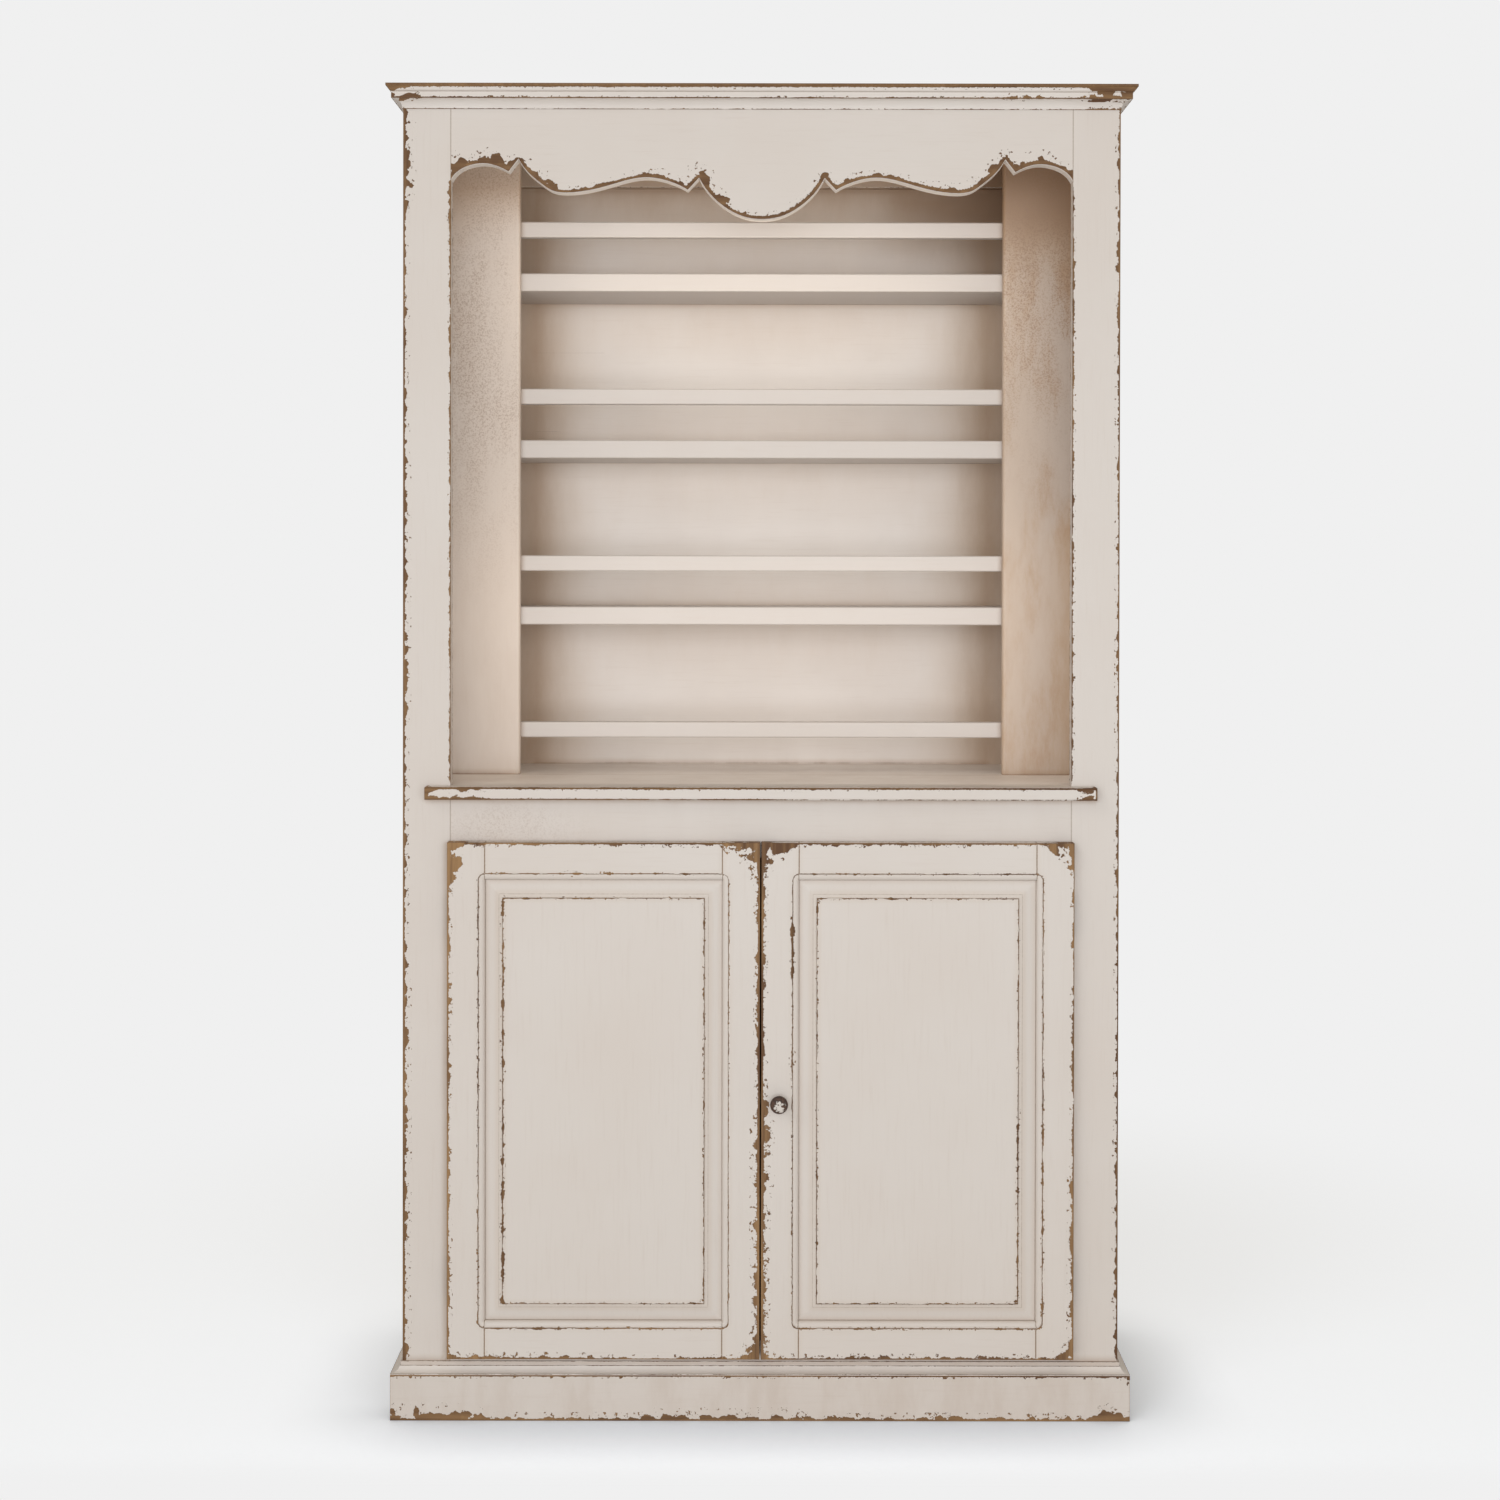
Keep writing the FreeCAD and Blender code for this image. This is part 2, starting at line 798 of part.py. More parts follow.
def raised_panel():
    """Tongued edge, bevelled margin and a raised field."""
    edge_front = groove_back - (groove_width - panel_clearance)
    field_x = widened(sight_x, -panel_bevel)
    field_z = widened(sight_z, -panel_bevel)
    field_front = door_front + field_setback
    margin_front = field_front + field_step
    edge = board(widened(sight_x, panel_tongue), (edge_front, groove_back), widened(sight_z, panel_tongue))
    sections = [rectangle(sight_x, edge_front, sight_z), rectangle(field_x, margin_front, field_z)]
    margin = Part.makeLoft(sections, True, True)
    field = board(field_x, (field_front, margin_front), field_z)
    return joined([edge, margin, field])


# Knob
knob_x = door_x[0] + knob_inset


def knob_place(shares):
    return Vector(knob_x + shares[0] * knob_radius, door_front - shares[1] * knob_reach, knob_height)


def knob_bore():
    """Hole in the knob and in the door for the knob's screw."""
    start = Vector(knob_x, door_back, knob_height)
    return cylinder(knob_screw_radius, start, Vector(0, -(door_thickness + knob_screw_bite), 0))


def knob():
    """Turned knob: foot, neck, head and domed cap round one axis."""
    foot = [knob_place(shares) for shares in knob_foot_shares]
    neck = [knob_place(shares) for shares in knob_neck_shares]
    head = [knob_place(shares) for shares in knob_head_shares]
    cap = [knob_place(shares) for shares in knob_cap_shares]
    centre = knob_place((0, 0))
    tip = knob_place((0, 1))
    outline = [
        line(centre, foot[0]), line(foot[0], foot[1]), line(foot[1], foot[2]),
        arc(neck), arc(head), arc(cap), line(cap[2], tip), line(tip, centre),
    ]
    return trimmed(turned(face_of(outline), centre), [knob_bore()])


def knob_screw():
    head_start = Vector(knob_x, door_back, knob_height)
    head = Part.makeCylinder(knob_screw_head_radius, knob_screw_head_height, head_start, Vector(0, 1, 0))
    return joined([head, knob_bore()])


# Catches and strikes
def door_catch():
    """Catch under the apron rail, just behind the right door's strike."""
    front = door_back + strike_thickness + catch_clearance
    z_span = (apron_bottom - catch_height, apron_bottom)
    return board(centred(catch_from_middle, catch_width), (front, front + catch_depth), z_span)


def door_strike():
    z_span = centred(apron_bottom - catch_height / 2, strike_height)
    y_span = (door_back, door_back + strike_thickness)
    return board(centred(catch_from_middle, strike_width), y_span, z_span)


# Nodes
def paired(name, right_shape):
    return {name + "_right": right_shape, name + "_left": mirrored(right_shape)}


def case_nodes():
    boards = back_boards()
    nodes = {
        "floor_board": floor_board(),
        "top_board": top_board(),
        "counter_board": counter_board(),
        "counter_nosing": counter_nosing(),
        "upper_back_boards": boards[:upper_board_count],
        "lower_back_boards": boards[upper_board_count:],
        "back_top_batten": back_top_batten(),
        "valance_board": valance_board(),
        "apron_rail": apron_rail(),
        "bottom_rail": bottom_rail(),
    }
    nodes.update(paired("side_panel", side_panel()))
    nodes.update(paired("frame_stile", frame_stile()))
    strips = {
        "cornice": cornice_strips(),
        "plinth": plinth_strips(),
        "plinth_moulding": plinth_moulding_strips(),
    }
    for name, (front, right, left) in strips.items():
        nodes.update({name + "_front": front, name + "_right": right, name + "_left": left})
    return nodes


def rack_nodes():
    nodes = paired("rack_board", rack_board())
    for index, level in enumerate([counter_height] + shelf_tops):
        nodes["plate_rail_" + str(index + 1)] = plate_rail(level)
    for index, top in enumerate(shelf_tops):
        nodes["plate_shelf_" + str(index + 1)] = plate_shelf(top)
    nodes["shelf_cleats"] = shelf_cleats()
    return nodes


def cupboard_nodes():
    catch = door_catch()
    return {
        "cupboard_shelf": cupboard_shelf(),
        "cupboard_cleats": cupboard_cleats(),
        "floor_glue_blocks": glue_blocks(),
        "door_catches": [catch, mirrored(catch)],
    }


def door_nodes():
    bottom_z, top_z = rail_spans()
    right = {
        "hinge_stile": hinge_stile(),
        "top_rail": door_rail(top_z, sight_z[1], 1),
        "bottom_rail": door_rail(bottom_z, sight_z[0], -1),
        "panel": raised_panel(),
        "hinge_leaves": [door_leaf(centre) for centre in hinge_centres],
        "leaf_screws": [screw(*placed) for placed in door_screw_places()],
        "strike": door_strike(),
    }
    nodes = {}
    for name, shape in right.items():
        shapes = shape if isinstance(shape, list) else [shape]
        nodes["right_door_" + name] = shapes
        nodes["left_door_" + name] = [mirrored(each) for each in shapes]
    nodes["right_door_meeting_stile"] = trimmed(meeting_stile(), [knob_bore()])
    nodes["left_door_meeting_stile"] = mirrored(meeting_stile())
    nodes["knob"] = knob()
    nodes["knob_screw"] = knob_screw()
    return nodes


def hinge_nodes():
    leaves = [frame_leaf(centre) for centre in hinge_centres]
    pins = [hinge_pin(centre) for centre in hinge_centres]
    screws = [screw(*placed) for placed in frame_screw_places()]
    groups = {"hinge_frame_leaves": leaves, "hinge_pins": pins, "frame_leaf_screws": screws}
    return {name: shapes + [mirrored(each) for each in shapes] for name, shapes in groups.items()}


def write_nodes(nodes):
    os.makedirs("parts", exist_ok=True)
    for name, shape in nodes.items():
        whole = Part.makeCompound(shape) if isinstance(shape, list) else shape
        whole.exportStep("parts/" + name + ".step")


write_nodes({**case_nodes(), **rack_nodes(), **cupboard_nodes(), **door_nodes(), **hinge_nodes()})
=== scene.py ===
import json
import math
import bmesh
import bpy
import numpy as np
from mathutils import Matrix, Vector
from mathutils.bvhtree import BVHTree


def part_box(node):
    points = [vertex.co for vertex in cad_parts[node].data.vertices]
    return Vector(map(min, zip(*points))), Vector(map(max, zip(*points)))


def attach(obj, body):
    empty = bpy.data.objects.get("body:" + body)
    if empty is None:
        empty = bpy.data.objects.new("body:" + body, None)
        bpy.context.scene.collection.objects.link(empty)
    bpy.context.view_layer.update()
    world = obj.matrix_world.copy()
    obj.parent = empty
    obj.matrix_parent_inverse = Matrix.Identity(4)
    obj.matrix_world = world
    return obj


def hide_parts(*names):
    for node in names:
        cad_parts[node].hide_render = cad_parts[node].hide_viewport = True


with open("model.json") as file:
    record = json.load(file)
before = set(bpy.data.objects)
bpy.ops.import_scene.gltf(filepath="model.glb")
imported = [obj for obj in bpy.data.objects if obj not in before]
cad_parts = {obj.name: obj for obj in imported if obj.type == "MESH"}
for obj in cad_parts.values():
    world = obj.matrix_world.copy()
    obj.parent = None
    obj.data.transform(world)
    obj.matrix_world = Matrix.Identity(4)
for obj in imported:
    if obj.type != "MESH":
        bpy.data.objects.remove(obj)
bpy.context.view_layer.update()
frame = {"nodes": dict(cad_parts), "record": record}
print("frame loaded:", len(frame["nodes"]), "CAD nodes")

# metres throughout; X runs along the width, the front faces -Y, Z points up
bodies = frame["record"]["behaviour"]["bodies"]
nodeBody = {node: body for body, nodes in bodies.items() for node in nodes}
nodeSlot = {row["node"]: row["material_slot"] for row in frame["record"]["subparts"]}


# a few short words for building node trees
def startMaterial(name):
    material = bpy.data.materials.new(name)
    material.use_nodes = True
    material.node_tree.nodes.clear()
    return material, material.node_tree


def feed(tree, socket, value):
    if isinstance(value, bpy.types.NodeSocket):
        tree.links.new(value, socket)
    else:
        socket.default_value = value


def put(tree, kind, inputs=None, **settings):
    node = tree.nodes.new("ShaderNode" + kind)
    for key, value in settings.items():
        setattr(node, key, value)
    for key, value in (inputs or {}).items():
        feed(tree, node.inputs[key], value)
    return node


def calc(tree, operation, first, second=0.0, third=0.0):
    return put(tree, "Math", {0: first, 1: second, 2: third}, operation=operation).outputs[0]


def fade(tree, value, start, end, low=0.0, high=1.0):
    ramp = put(
        tree,
        "MapRange",
        {"Value": value, "From Min": start, "From Max": end, "To Min": low, "To Max": high},
        interpolation_type="SMOOTHSTEP",
    )
    return ramp.outputs[0]


def blend(tree, share, first, second):
    mix = put(tree, "Mix", {0: share}, data_type="RGBA")
    for socket, colour in ((mix.inputs[6], first), (mix.inputs[7], second)):
        feed(tree, socket, colour if isinstance(colour, bpy.types.NodeSocket) else (*colour, 1.0))
    return mix.outputs[2]


def cloud(tree, where, name):
    scale, detail, roughness = noises[name]
    inputs = {"Vector": where, "Scale": scale, "Detail": detail, "Roughness": roughness}
    return put(tree, "TexNoise", inputs).outputs[0]


def stretch(tree, where, amounts):
    return put(tree, "VectorMath", {0: where, 1: amounts}, operation="MULTIPLY").outputs[0]


def reading(tree, name):
    return put(tree, "Attribute", attribute_name=name).outputs["Fac"]


def finishShader(tree, colour, roughness, height, depth, metallic=0.0):
    bump = put(tree, "Bump", {"Strength": reliefStrength, "Distance": depth, "Height": height})
    shader = put(
        tree,
        "BsdfPrincipled",
        {"Base Color": colour, "Roughness": roughness, "Metallic": metallic, "Normal": bump.outputs[0]},
    )
    put(tree, "OutputMaterial", {"Surface": shader.outputs[0]})
    return shader


reliefStrength = 0.7
# linear colours of the paint, of what shows through it and of what has settled on it, and paler and
# duller tones that stand for painted light and shade
tones = {
    "cream": (0.688, 0.632, 0.588),
    "creamWarm": (0.650, 0.572, 0.514),
    "creamLitPale": (0.820, 0.765, 0.720),
    "creamShaded": (0.545, 0.505, 0.480),
    "primer": (0.780, 0.735, 0.690),
    "bareWood": (0.360, 0.208, 0.090),
    "darkWood": (0.105, 0.047, 0.018),
    "grime": (0.200, 0.120, 0.062),
    "stain": (0.380, 0.245, 0.150),
    "smoke": (0.540, 0.405, 0.290),
    "sootAndShade": (0.250, 0.150, 0.085),
    "speckle": (0.300, 0.190, 0.125),
    "rawPine": (0.560, 0.390, 0.235),
    "rawPineDark": (0.380, 0.235, 0.125),
}
# noise is drawn out along the axis with the small number, as grain and brush strokes are
upright, level, inDepth = (1.0, 1.0, 0.05), (0.05, 1.0, 1.0), (1.0, 0.05, 1.0)
# each noise is given by its scale, detail and roughness
noises = {
    "rings": (90.0, 5.0, 0.6),
    "broadRings": (14.0, 3.0, 0.5),
    "lumps": (62.0, 2.0, 0.5),
    "crumbs": (300.0, 4.0, 0.62),
    "flakes": (150.0, 4.0, 0.6),
    "breaks": (19.0, 2.0, 0.5),
    "streaks": (260.0, 4.0, 0.6),
    "clouds": (3.2, 4.0, 0.55),
    "patches": (18.0, 6.0, 0.68),
    "dots": (380.0, 5.0, 0.7),
    "dust": (5.0, 5.0, 0.6),
    "metalSpots": (140.0, 5.0, 0.65),
    "metalGrain": (900.0, 3.0, 0.5),
    "knobEdge": (190.0, 5.0, 0.6),
    "knobChips": (260.0, 3.0, 0.5),
}


# tone, where it starts to show, where it shows most, and its share there and before the start
layers = {
    "warmClouds": ("creamWarm", 0.35, 0.7, 0.4, 0.0),
    "paleLitClouds": ("creamLitPale", 0.8, 0.3, 1.0, 0.4),
    "brushStreaks": ("stain", 0.5, 0.8, 0.07, 0.0),
    "soiledPatches": ("stain", 0.38, 0.68, 1.0, 0.3),
    # smoke stains with painted shade inside the rack
    "thinSmokeAndShade": ("smoke", 0.17, -0.02, 1.0, 0.0),
    "thickSmokeAndShade": ("stain", 0.07, -0.03, 1.0, 0.0),
    # dust and dirt in corners, with painted shade in the same corners
    "dustAndShadeInCorners": ("stain", 0.009, -0.003, 0.42, 0.0),
    "dirtAndShadeInCorners": ("grime", 0.0, -0.0025, 0.5, 0.0),
    "glazeAtJoints": ("smoke", 0.010, 0.001, 1.0, 0.0),
    "dirtInJoints": ("grime", 0.0018, 0.0009, 1.0, 0.0),
    # primer at the chips' rims, partly a painted highlight on the paint's edge
    "primerAndHighlightAtChips": ("primer", -0.0011, -0.0002, 0.45, 0.0),
    "darkPatches": ("darkWood", 0.38, 0.56, 1.0, 0.6),
    "darkArris": ("darkWood", 0.0014, 0.0007, 0.6, 0.0),
    # painted shade just inside the chips' borders, under the paint's lip
    "shadeUnderLip": ("darkWood", 0.0010, 0.0003, 0.4, 0.0),
    "timberDust": ("grime", 0.4, 0.75, 0.35, 0.0),
}


def lay(tree, under, layer, value, amount=1.0):
    tone, start, end, most, least = layers[layer]
    return blend(tree, fade(tree, value, start, end, least * amount, most * amount), under, tones[tone])


woodWork = {"fine": 0.7, "broad": 0.5, "darkFrom": 0.45, "darkTo": 0.75}


def woodColour(tree, where, grain, light, dark):
    along = stretch(tree, where, grain)
    rings, broad = cloud(tree, along, "rings"), cloud(tree, along, "broadRings")
    broad = calc(tree, "MULTIPLY", broad, woodWork["broad"])
    share = calc(tree, "MULTIPLY_ADD", rings, woodWork["fine"], broad)
    return blend(tree, fade(tree, share, woodWork["darkFrom"], woodWork["darkTo"]), light, dark), rings


chipWork = {
    "lobes": 58.0,  # scale of the rounded lobes
    "usual": 0.9,  # how much of its reach a chip takes on average
    "lumpy": 3.8,
    "lobed": 1.7,
    "crumbling": 3.0,
    "flakesFrom": 0.61,
    "flakeDepth": 0.03,
    "flakeReach": 2.6,
    "broken": (0.4, 0.52),
    "wide": (0.0012, 0.002),  # a line this wide is no longer broken
    "lineLeast": 0.3,
    "lineVaried": 1.4,
    "border": 0.0003,
}


# how far inside the ragged border of a chip a spot lies, in metres, and how far from the bare edge
def chipDepth(tree, where, lumps, crumbs, crumbly):
    gap, reach, steady = (reading(tree, word) for word in ("edgeGap", "edgeReach", "edgeSteady"))
    cells = put(tree, "TexVoronoi", {"Vector": where, "Scale": chipWork["lobes"]}).outputs["Distance"]
    lump, crumb = calc(tree, "SUBTRACT", lumps, 0.5), calc(tree, "SUBTRACT", crumbs, 0.5)
    bite = calc(tree, "MULTIPLY_ADD", lump, chipWork["lumpy"], chipWork["usual"])
    bite = calc(tree, "MULTIPLY_ADD", calc(tree, "SUBTRACT", 0.5, cells), chipWork["lobed"], bite)
    crumble = calc(tree, "MULTIPLY", calc(tree, "MINIMUM", reach, crumbly), chipWork["crumbling"])
    rim = calc(tree, "MULTIPLY_ADD", crumb, crumble, calc(tree, "MULTIPLY", gap, -1.0))
    past = calc(tree, "MULTIPLY_ADD", bite, reach, rim)
    # loose flakes beyond it
    flakes = calc(tree, "SUBTRACT", cloud(tree, where, "flakes"), chipWork["flakesFrom"])
    flakes = calc(tree, "MULTIPLY", flakes, chipWork["flakeDepth"])
    nearEdge = calc(tree, "SUBTRACT", calc(tree, "MULTIPLY", reach, chipWork["flakeReach"]), gap)
    past = calc(tree, "MAXIMUM", past, calc(tree, "MINIMUM", flakes, nearEdge))
    # a thin line stays bare along the arris, broken where it is thinnest
    unbroken = fade(tree, cloud(tree, where, "breaks"), *chipWork["broken"])
    whole = calc(tree, "ADD", fade(tree, steady, *chipWork["wide"]), unbroken)
    whole = calc(tree, "MINIMUM", whole, 1.0)
    varied = calc(tree, "MULTIPLY_ADD", crumbs, chipWork["lineVaried"], chipWork["lineLeast"])
    line = calc(tree, "MULTIPLY", calc(tree, "MULTIPLY", steady, whole), varied)
    return calc(tree, "MAXIMUM", past, calc(tree, "SUBTRACT", line, gap)), gap


agedWork = {
    "patchShape": (1.0, 1.0, 0.3),
    "smokeShadeRagged": 0.06,
    "smokeShadeMiddle": 0.03,
    "sootRagged": 0.10,
    "sootHeights": (1.86, 2.05),  # it thickens upwards between these
    "sootAside": (0.12, 0.40),  # and to the right
    "cornerShadeRagged": -0.006,
    "jointRagged": 0.0010,
    "litPaleBorder": 0.0003,
    "dots": (0.46, 0.62),
    "dotPatches": (0.3, 0.56),
    "dotSpread": (1.0, 0.3),
}


def layDots(tree, paint, where, patches, dots):
    apart = put(tree, "VectorMath", {0: where, 1: dots["centre"]}, operation="SUBTRACT").outputs[0]
    apart = put(tree, "VectorMath", {0: apart, 1: dots["size"]}, operation="DIVIDE").outputs[0]
    apart = put(tree, "VectorMath", {0: apart}, operation="LENGTH").outputs["Value"]
    share = fade(tree, cloud(tree, where, "dots"), *agedWork["dots"])
    share = calc(tree, "MULTIPLY", share, fade(tree, patches, *agedWork["dotPatches"]))
    share = calc(tree, "MULTIPLY", share, fade(tree, apart, *agedWork["dotSpread"], 0.0, dots["share"]))
    return blend(tree, share, paint, tones["speckle"])


# faint clouds and brush streaks, paler and duller cream as painted light and shade, smoke and soot with
# painted shade, then dirt in corners with painted shade, in joints and on handled places, and primer with
# a painted highlight at the chips
def agedPaint(tree, where, grain, crumbs, past, look):
    aside, depth, high = put(tree, "SeparateXYZ", {0: where}).outputs
    streaks = cloud(tree, stretch(tree, where, grain), "streaks")
    clouds = cloud(tree, where, "clouds")
    patches = cloud(tree, stretch(tree, where, agedWork["patchShape"]), "patches")
    paint = lay(tree, tones["cream"], "warmClouds", clouds)
    # paler cream in clouds; on the back boards and the counter it is painted light
    if look["pale"]:
        paint = lay(tree, paint, "paleLitClouds", clouds, look["pale"])
    # duller cream, painted shade on the shelves, rails, right rack board and batten
    if look["dull"]:
        paint = blend(tree, look["dull"], paint, tones["creamShaded"])
    paint = lay(tree, paint, "brushStreaks", streaks)
    paint = lay(tree, paint, "soiledPatches", patches, look["soiled"])
    # smoke tint with painted shade near the smoky corners of the rack
    if look["smokeAndShade"]:
        near = calc(tree, "SUBTRACT", reading(tree, "smokeAndShadeGap"), agedWork["smokeShadeMiddle"])
        near = calc(tree, "MULTIPLY_ADD", patches, agedWork["smokeShadeRagged"], near)
        paint = lay(tree, paint, "thinSmokeAndShade", near, look["smokeAndShade"])
        paint = lay(tree, paint, "thickSmokeAndShade", near, look["smokeAndShade"])
    # soot with painted shade, thickening upwards and to the right in the rack
    if look["sootAndShade"]:
        ragged = calc(tree, "MULTIPLY_ADD", patches, agedWork["sootRagged"], high)
        share = fade(tree, ragged, *agedWork["sootHeights"])
        share = calc(tree, "MULTIPLY", share, fade(tree, aside, *agedWork["sootAside"]))
        paint = blend(tree, calc(tree, "MULTIPLY", share, look["sootAndShade"]), paint, tones["sootAndShade"])
    # painted light: the valance's underside turns paler cream, as if lit from below
    if look["litPaleBehind"]:
        spared = fade(tree, depth, look["litPaleBehind"], look["litPaleBehind"] + agedWork["litPaleBorder"])
        paint = blend(tree, spared, paint, tones["creamLitPale"])
    if look["speckled"]:
        paint = layDots(tree, paint, where, patches, look["speckled"])
    # dust, dirt and painted shade in corners, under the nosing and under the shelves
    corner = calc(tree, "MULTIPLY_ADD", patches, agedWork["cornerShadeRagged"], reading(tree, "dustAndShadeGap"))
    paint = lay(tree, paint, "dustAndShadeInCorners", corner)
    paint = lay(tree, paint, "dirtAndShadeInCorners", corner)
    seam = reading(tree, "seamGap")
    if look["glaze"]:
        paint = lay(tree, paint, "glazeAtJoints", seam, look["glaze"])
    joint = calc(tree, "MULTIPLY_ADD", crumbs, agedWork["jointRagged"], seam)
    paint = lay(tree, paint, "dirtInJoints", joint, look["seamDark"])
    return lay(tree, paint, "primerAndHighlightAtChips", past), streaks, depth


# the wood under the paint, darkest along the arris, with painted shade under the paint's lip
def wornWood(tree, where, grain, lumps, crumbs, past, gap, deep):
    wood, rings = woodColour(tree, where, grain, tones["bareWood"], tones["darkWood"])
    arris = calc(tree, "MULTIPLY_ADD", crumbs, paintWork["arrisRagged"], gap)
    wood = lay(tree, wood, "darkPatches", lumps, deep)
    wood = lay(tree, wood, "darkArris", arris)
    return lay(tree, wood, "shadeUnderLip", past), rings


paintWork = {
    "arrisRagged": 0.0012,
    "rawBorder": 0.0004,
    "strokes": 0.14,  # height of the brush strokes beside that of the paint
    "rings": 0.12,
    "relief": 0.0004,
    "paintRough": 0.52,
    "woodRough": 0.78,
}


def wornPaint(name, grain, look):
    look = {**usualPaint, **look}
    material, tree = startMaterial(name)
    where = put(tree, "TexCoord").outputs["Object"]
    lumps, crumbs = cloud(tree, where, "lumps"), cloud(tree, where, "crumbs")
    past, gap = chipDepth(tree, where, lumps, crumbs, look["crumbly"])
    chip = fade(tree, past, 0.0, chipWork["border"])
    paint, streaks, depth = agedPaint(tree, where, grain, crumbs, past, look)
    wood, rings = wornWood(tree, where, grain, lumps, crumbs, past, gap, look["deep"])
    colour = blend(tree, chip, paint, wood)
    if look["rawBehind"]:
        raw, rings = woodColour(tree, where, grain, tones["rawPine"], tones["rawPineDark"])
        unpainted = fade(tree, depth, look["rawBehind"], look["rawBehind"] + paintWork["rawBorder"])
        colour = blend(tree, unpainted, colour, raw)
    strokes = calc(tree, "MULTIPLY", streaks, paintWork["strokes"])
    height = calc(tree, "MULTIPLY_ADD", chip, -1.0, strokes)
    height = calc(tree, "MULTIPLY_ADD", rings, paintWork["rings"], height)
    roughness = fade(tree, chip, 0.0, 1.0, paintWork["paintRough"], paintWork["woodRough"])
    finishShader(tree, colour, roughness, height, paintWork["relief"])
    return material


timberWork = {"over": (0.3, 0.7), "rough": (0.62, 0.8), "relief": 0.0003}
metalWork = {"over": (0.35, 0.7), "relief": 0.0001}


def bareTimber(name, grain, light, dark):
    material, tree = startMaterial(name)
    where = put(tree, "TexCoord").outputs["Object"]
    wood, rings = woodColour(tree, where, grain, light, dark)
    colour = lay(tree, wood, "timberDust", cloud(tree, where, "dust"))
    roughness = fade(tree, rings, *timberWork["over"], *timberWork["rough"])
    finishShader(tree, colour, roughness, rings, timberWork["relief"])
    return material


def oldMetal(name, look):
    material, tree = startMaterial(name)
    where = put(tree, "TexCoord").outputs["Object"]
    spots, fine = cloud(tree, where, "metalSpots"), cloud(tree, where, "metalGrain")
    aged = fade(tree, spots, look["agedFrom"], look["agedTo"])
    colour = blend(tree, aged, look["metal"], look["aged"])
    roughness = fade(tree, spots, *metalWork["over"], look["smooth"], look["dull"])
    finishShader(tree, colour, roughness, fine, metalWork["relief"], look["metallic"])
    return material


def chippedKnob(name, look):
    material, tree = startMaterial(name)
    where = put(tree, "TexCoord").outputs["Object"]
    apart = put(tree, "VectorMath", {0: where, 1: look["centre"]}, operation="SUBTRACT").outputs[0]
    apart = stretch(tree, apart, look["oval"])
    fromAxis = put(tree, "VectorMath", {0: apart}, operation="LENGTH").outputs["Value"]
    ragged = cloud(tree, where, "knobEdge")
    edge = calc(tree, "MULTIPLY_ADD", calc(tree, "SUBTRACT", ragged, 0.5), look["ragged"], fromAxis)
    worn = fade(tree, edge, look["paintTo"], look["paintTo"] + look["border"])
    chips = fade(tree, cloud(tree, where, "knobChips"), *look["chips"])
    bare = calc(tree, "MAXIMUM", worn, chips)
    metal = blend(tree, fade(tree, ragged, *look["rubs"]), look["metal"], look["rubbed"])
    colour = blend(tree, bare, look["paint"], metal)
    roughness = fade(tree, bare, 0.0, 1.0, look["paintRough"], look["metalRough"])
    finishShader(tree, colour, roughness, calc(tree, "MULTIPLY", bare, -1.0), look["relief"])
    return material


usualPaint = {
    "soiled": 0.0,  # stains all over
    "smokeAndShade": 0.0,  # smoke and painted shade near the smoky corners
    "sootAndShade": 0.0,  # soot and painted shade in the rack's upper right corner
    "glaze": 0.0,  # warm glaze beside the joints
    "seamDark": 0.5,  # dirt in the joints
    # paler cream in clouds; on the back boards and the counter it is painted light
    "pale": 0.0,
    # duller cream, painted shade on the shelves, rails, right rack board and batten
    "dull": 0.0,
    "speckled": None,  # centre and size of a speckled place
    "litPaleBehind": None,  # paler cream behind this depth, painted light on the valance's underside
    "rawBehind": None,  # unpainted behind this depth
    "deep": 0.4,  # dark wood in the chips
    "crumbly": 0.0026,  # how coarse the chips' rims are
}
doorPaint = {"seamDark": 0.95, "glaze": 0.12, "deep": 0.15, "crumbly": 0.006}
apronSpeckles = {"centre": (-0.40, -0.18, 0.93), "size": (0.16, 0.1, 0.055), "share": 0.25}
leftSpeckles = {"centre": (-0.47, 0.014, 1.85), "size": (0.20, 0.1, 0.65), "share": 0.55}
rightSpeckles = {"centre": (0.47, 0.014, 1.95), "size": (0.20, 0.1, 0.60), "share": 0.8}
leftRack = {"soiled": 0.2, "smokeAndShade": 0.6, "pale": 0.2, "speckled": leftSpeckles}
rightRack = {"soiled": 0.95, "smokeAndShade": 0.9, "dull": 1.0, "sootAndShade": 0.85, "speckled": rightSpeckles}
backPaint = {"soiled": 0.03, "smokeAndShade": 0.8, "seamDark": 0.3, "pale": 0.9, "sootAndShade": 0.9, "rawBehind": 0.2292}
battenPaint = {"soiled": 0.15, "smokeAndShade": 0.75, "dull": 0.3, "sootAndShade": 0.9}
plinthTop = {"soiled": 0.06, "seamDark": 0.12, "pale": 0.4}
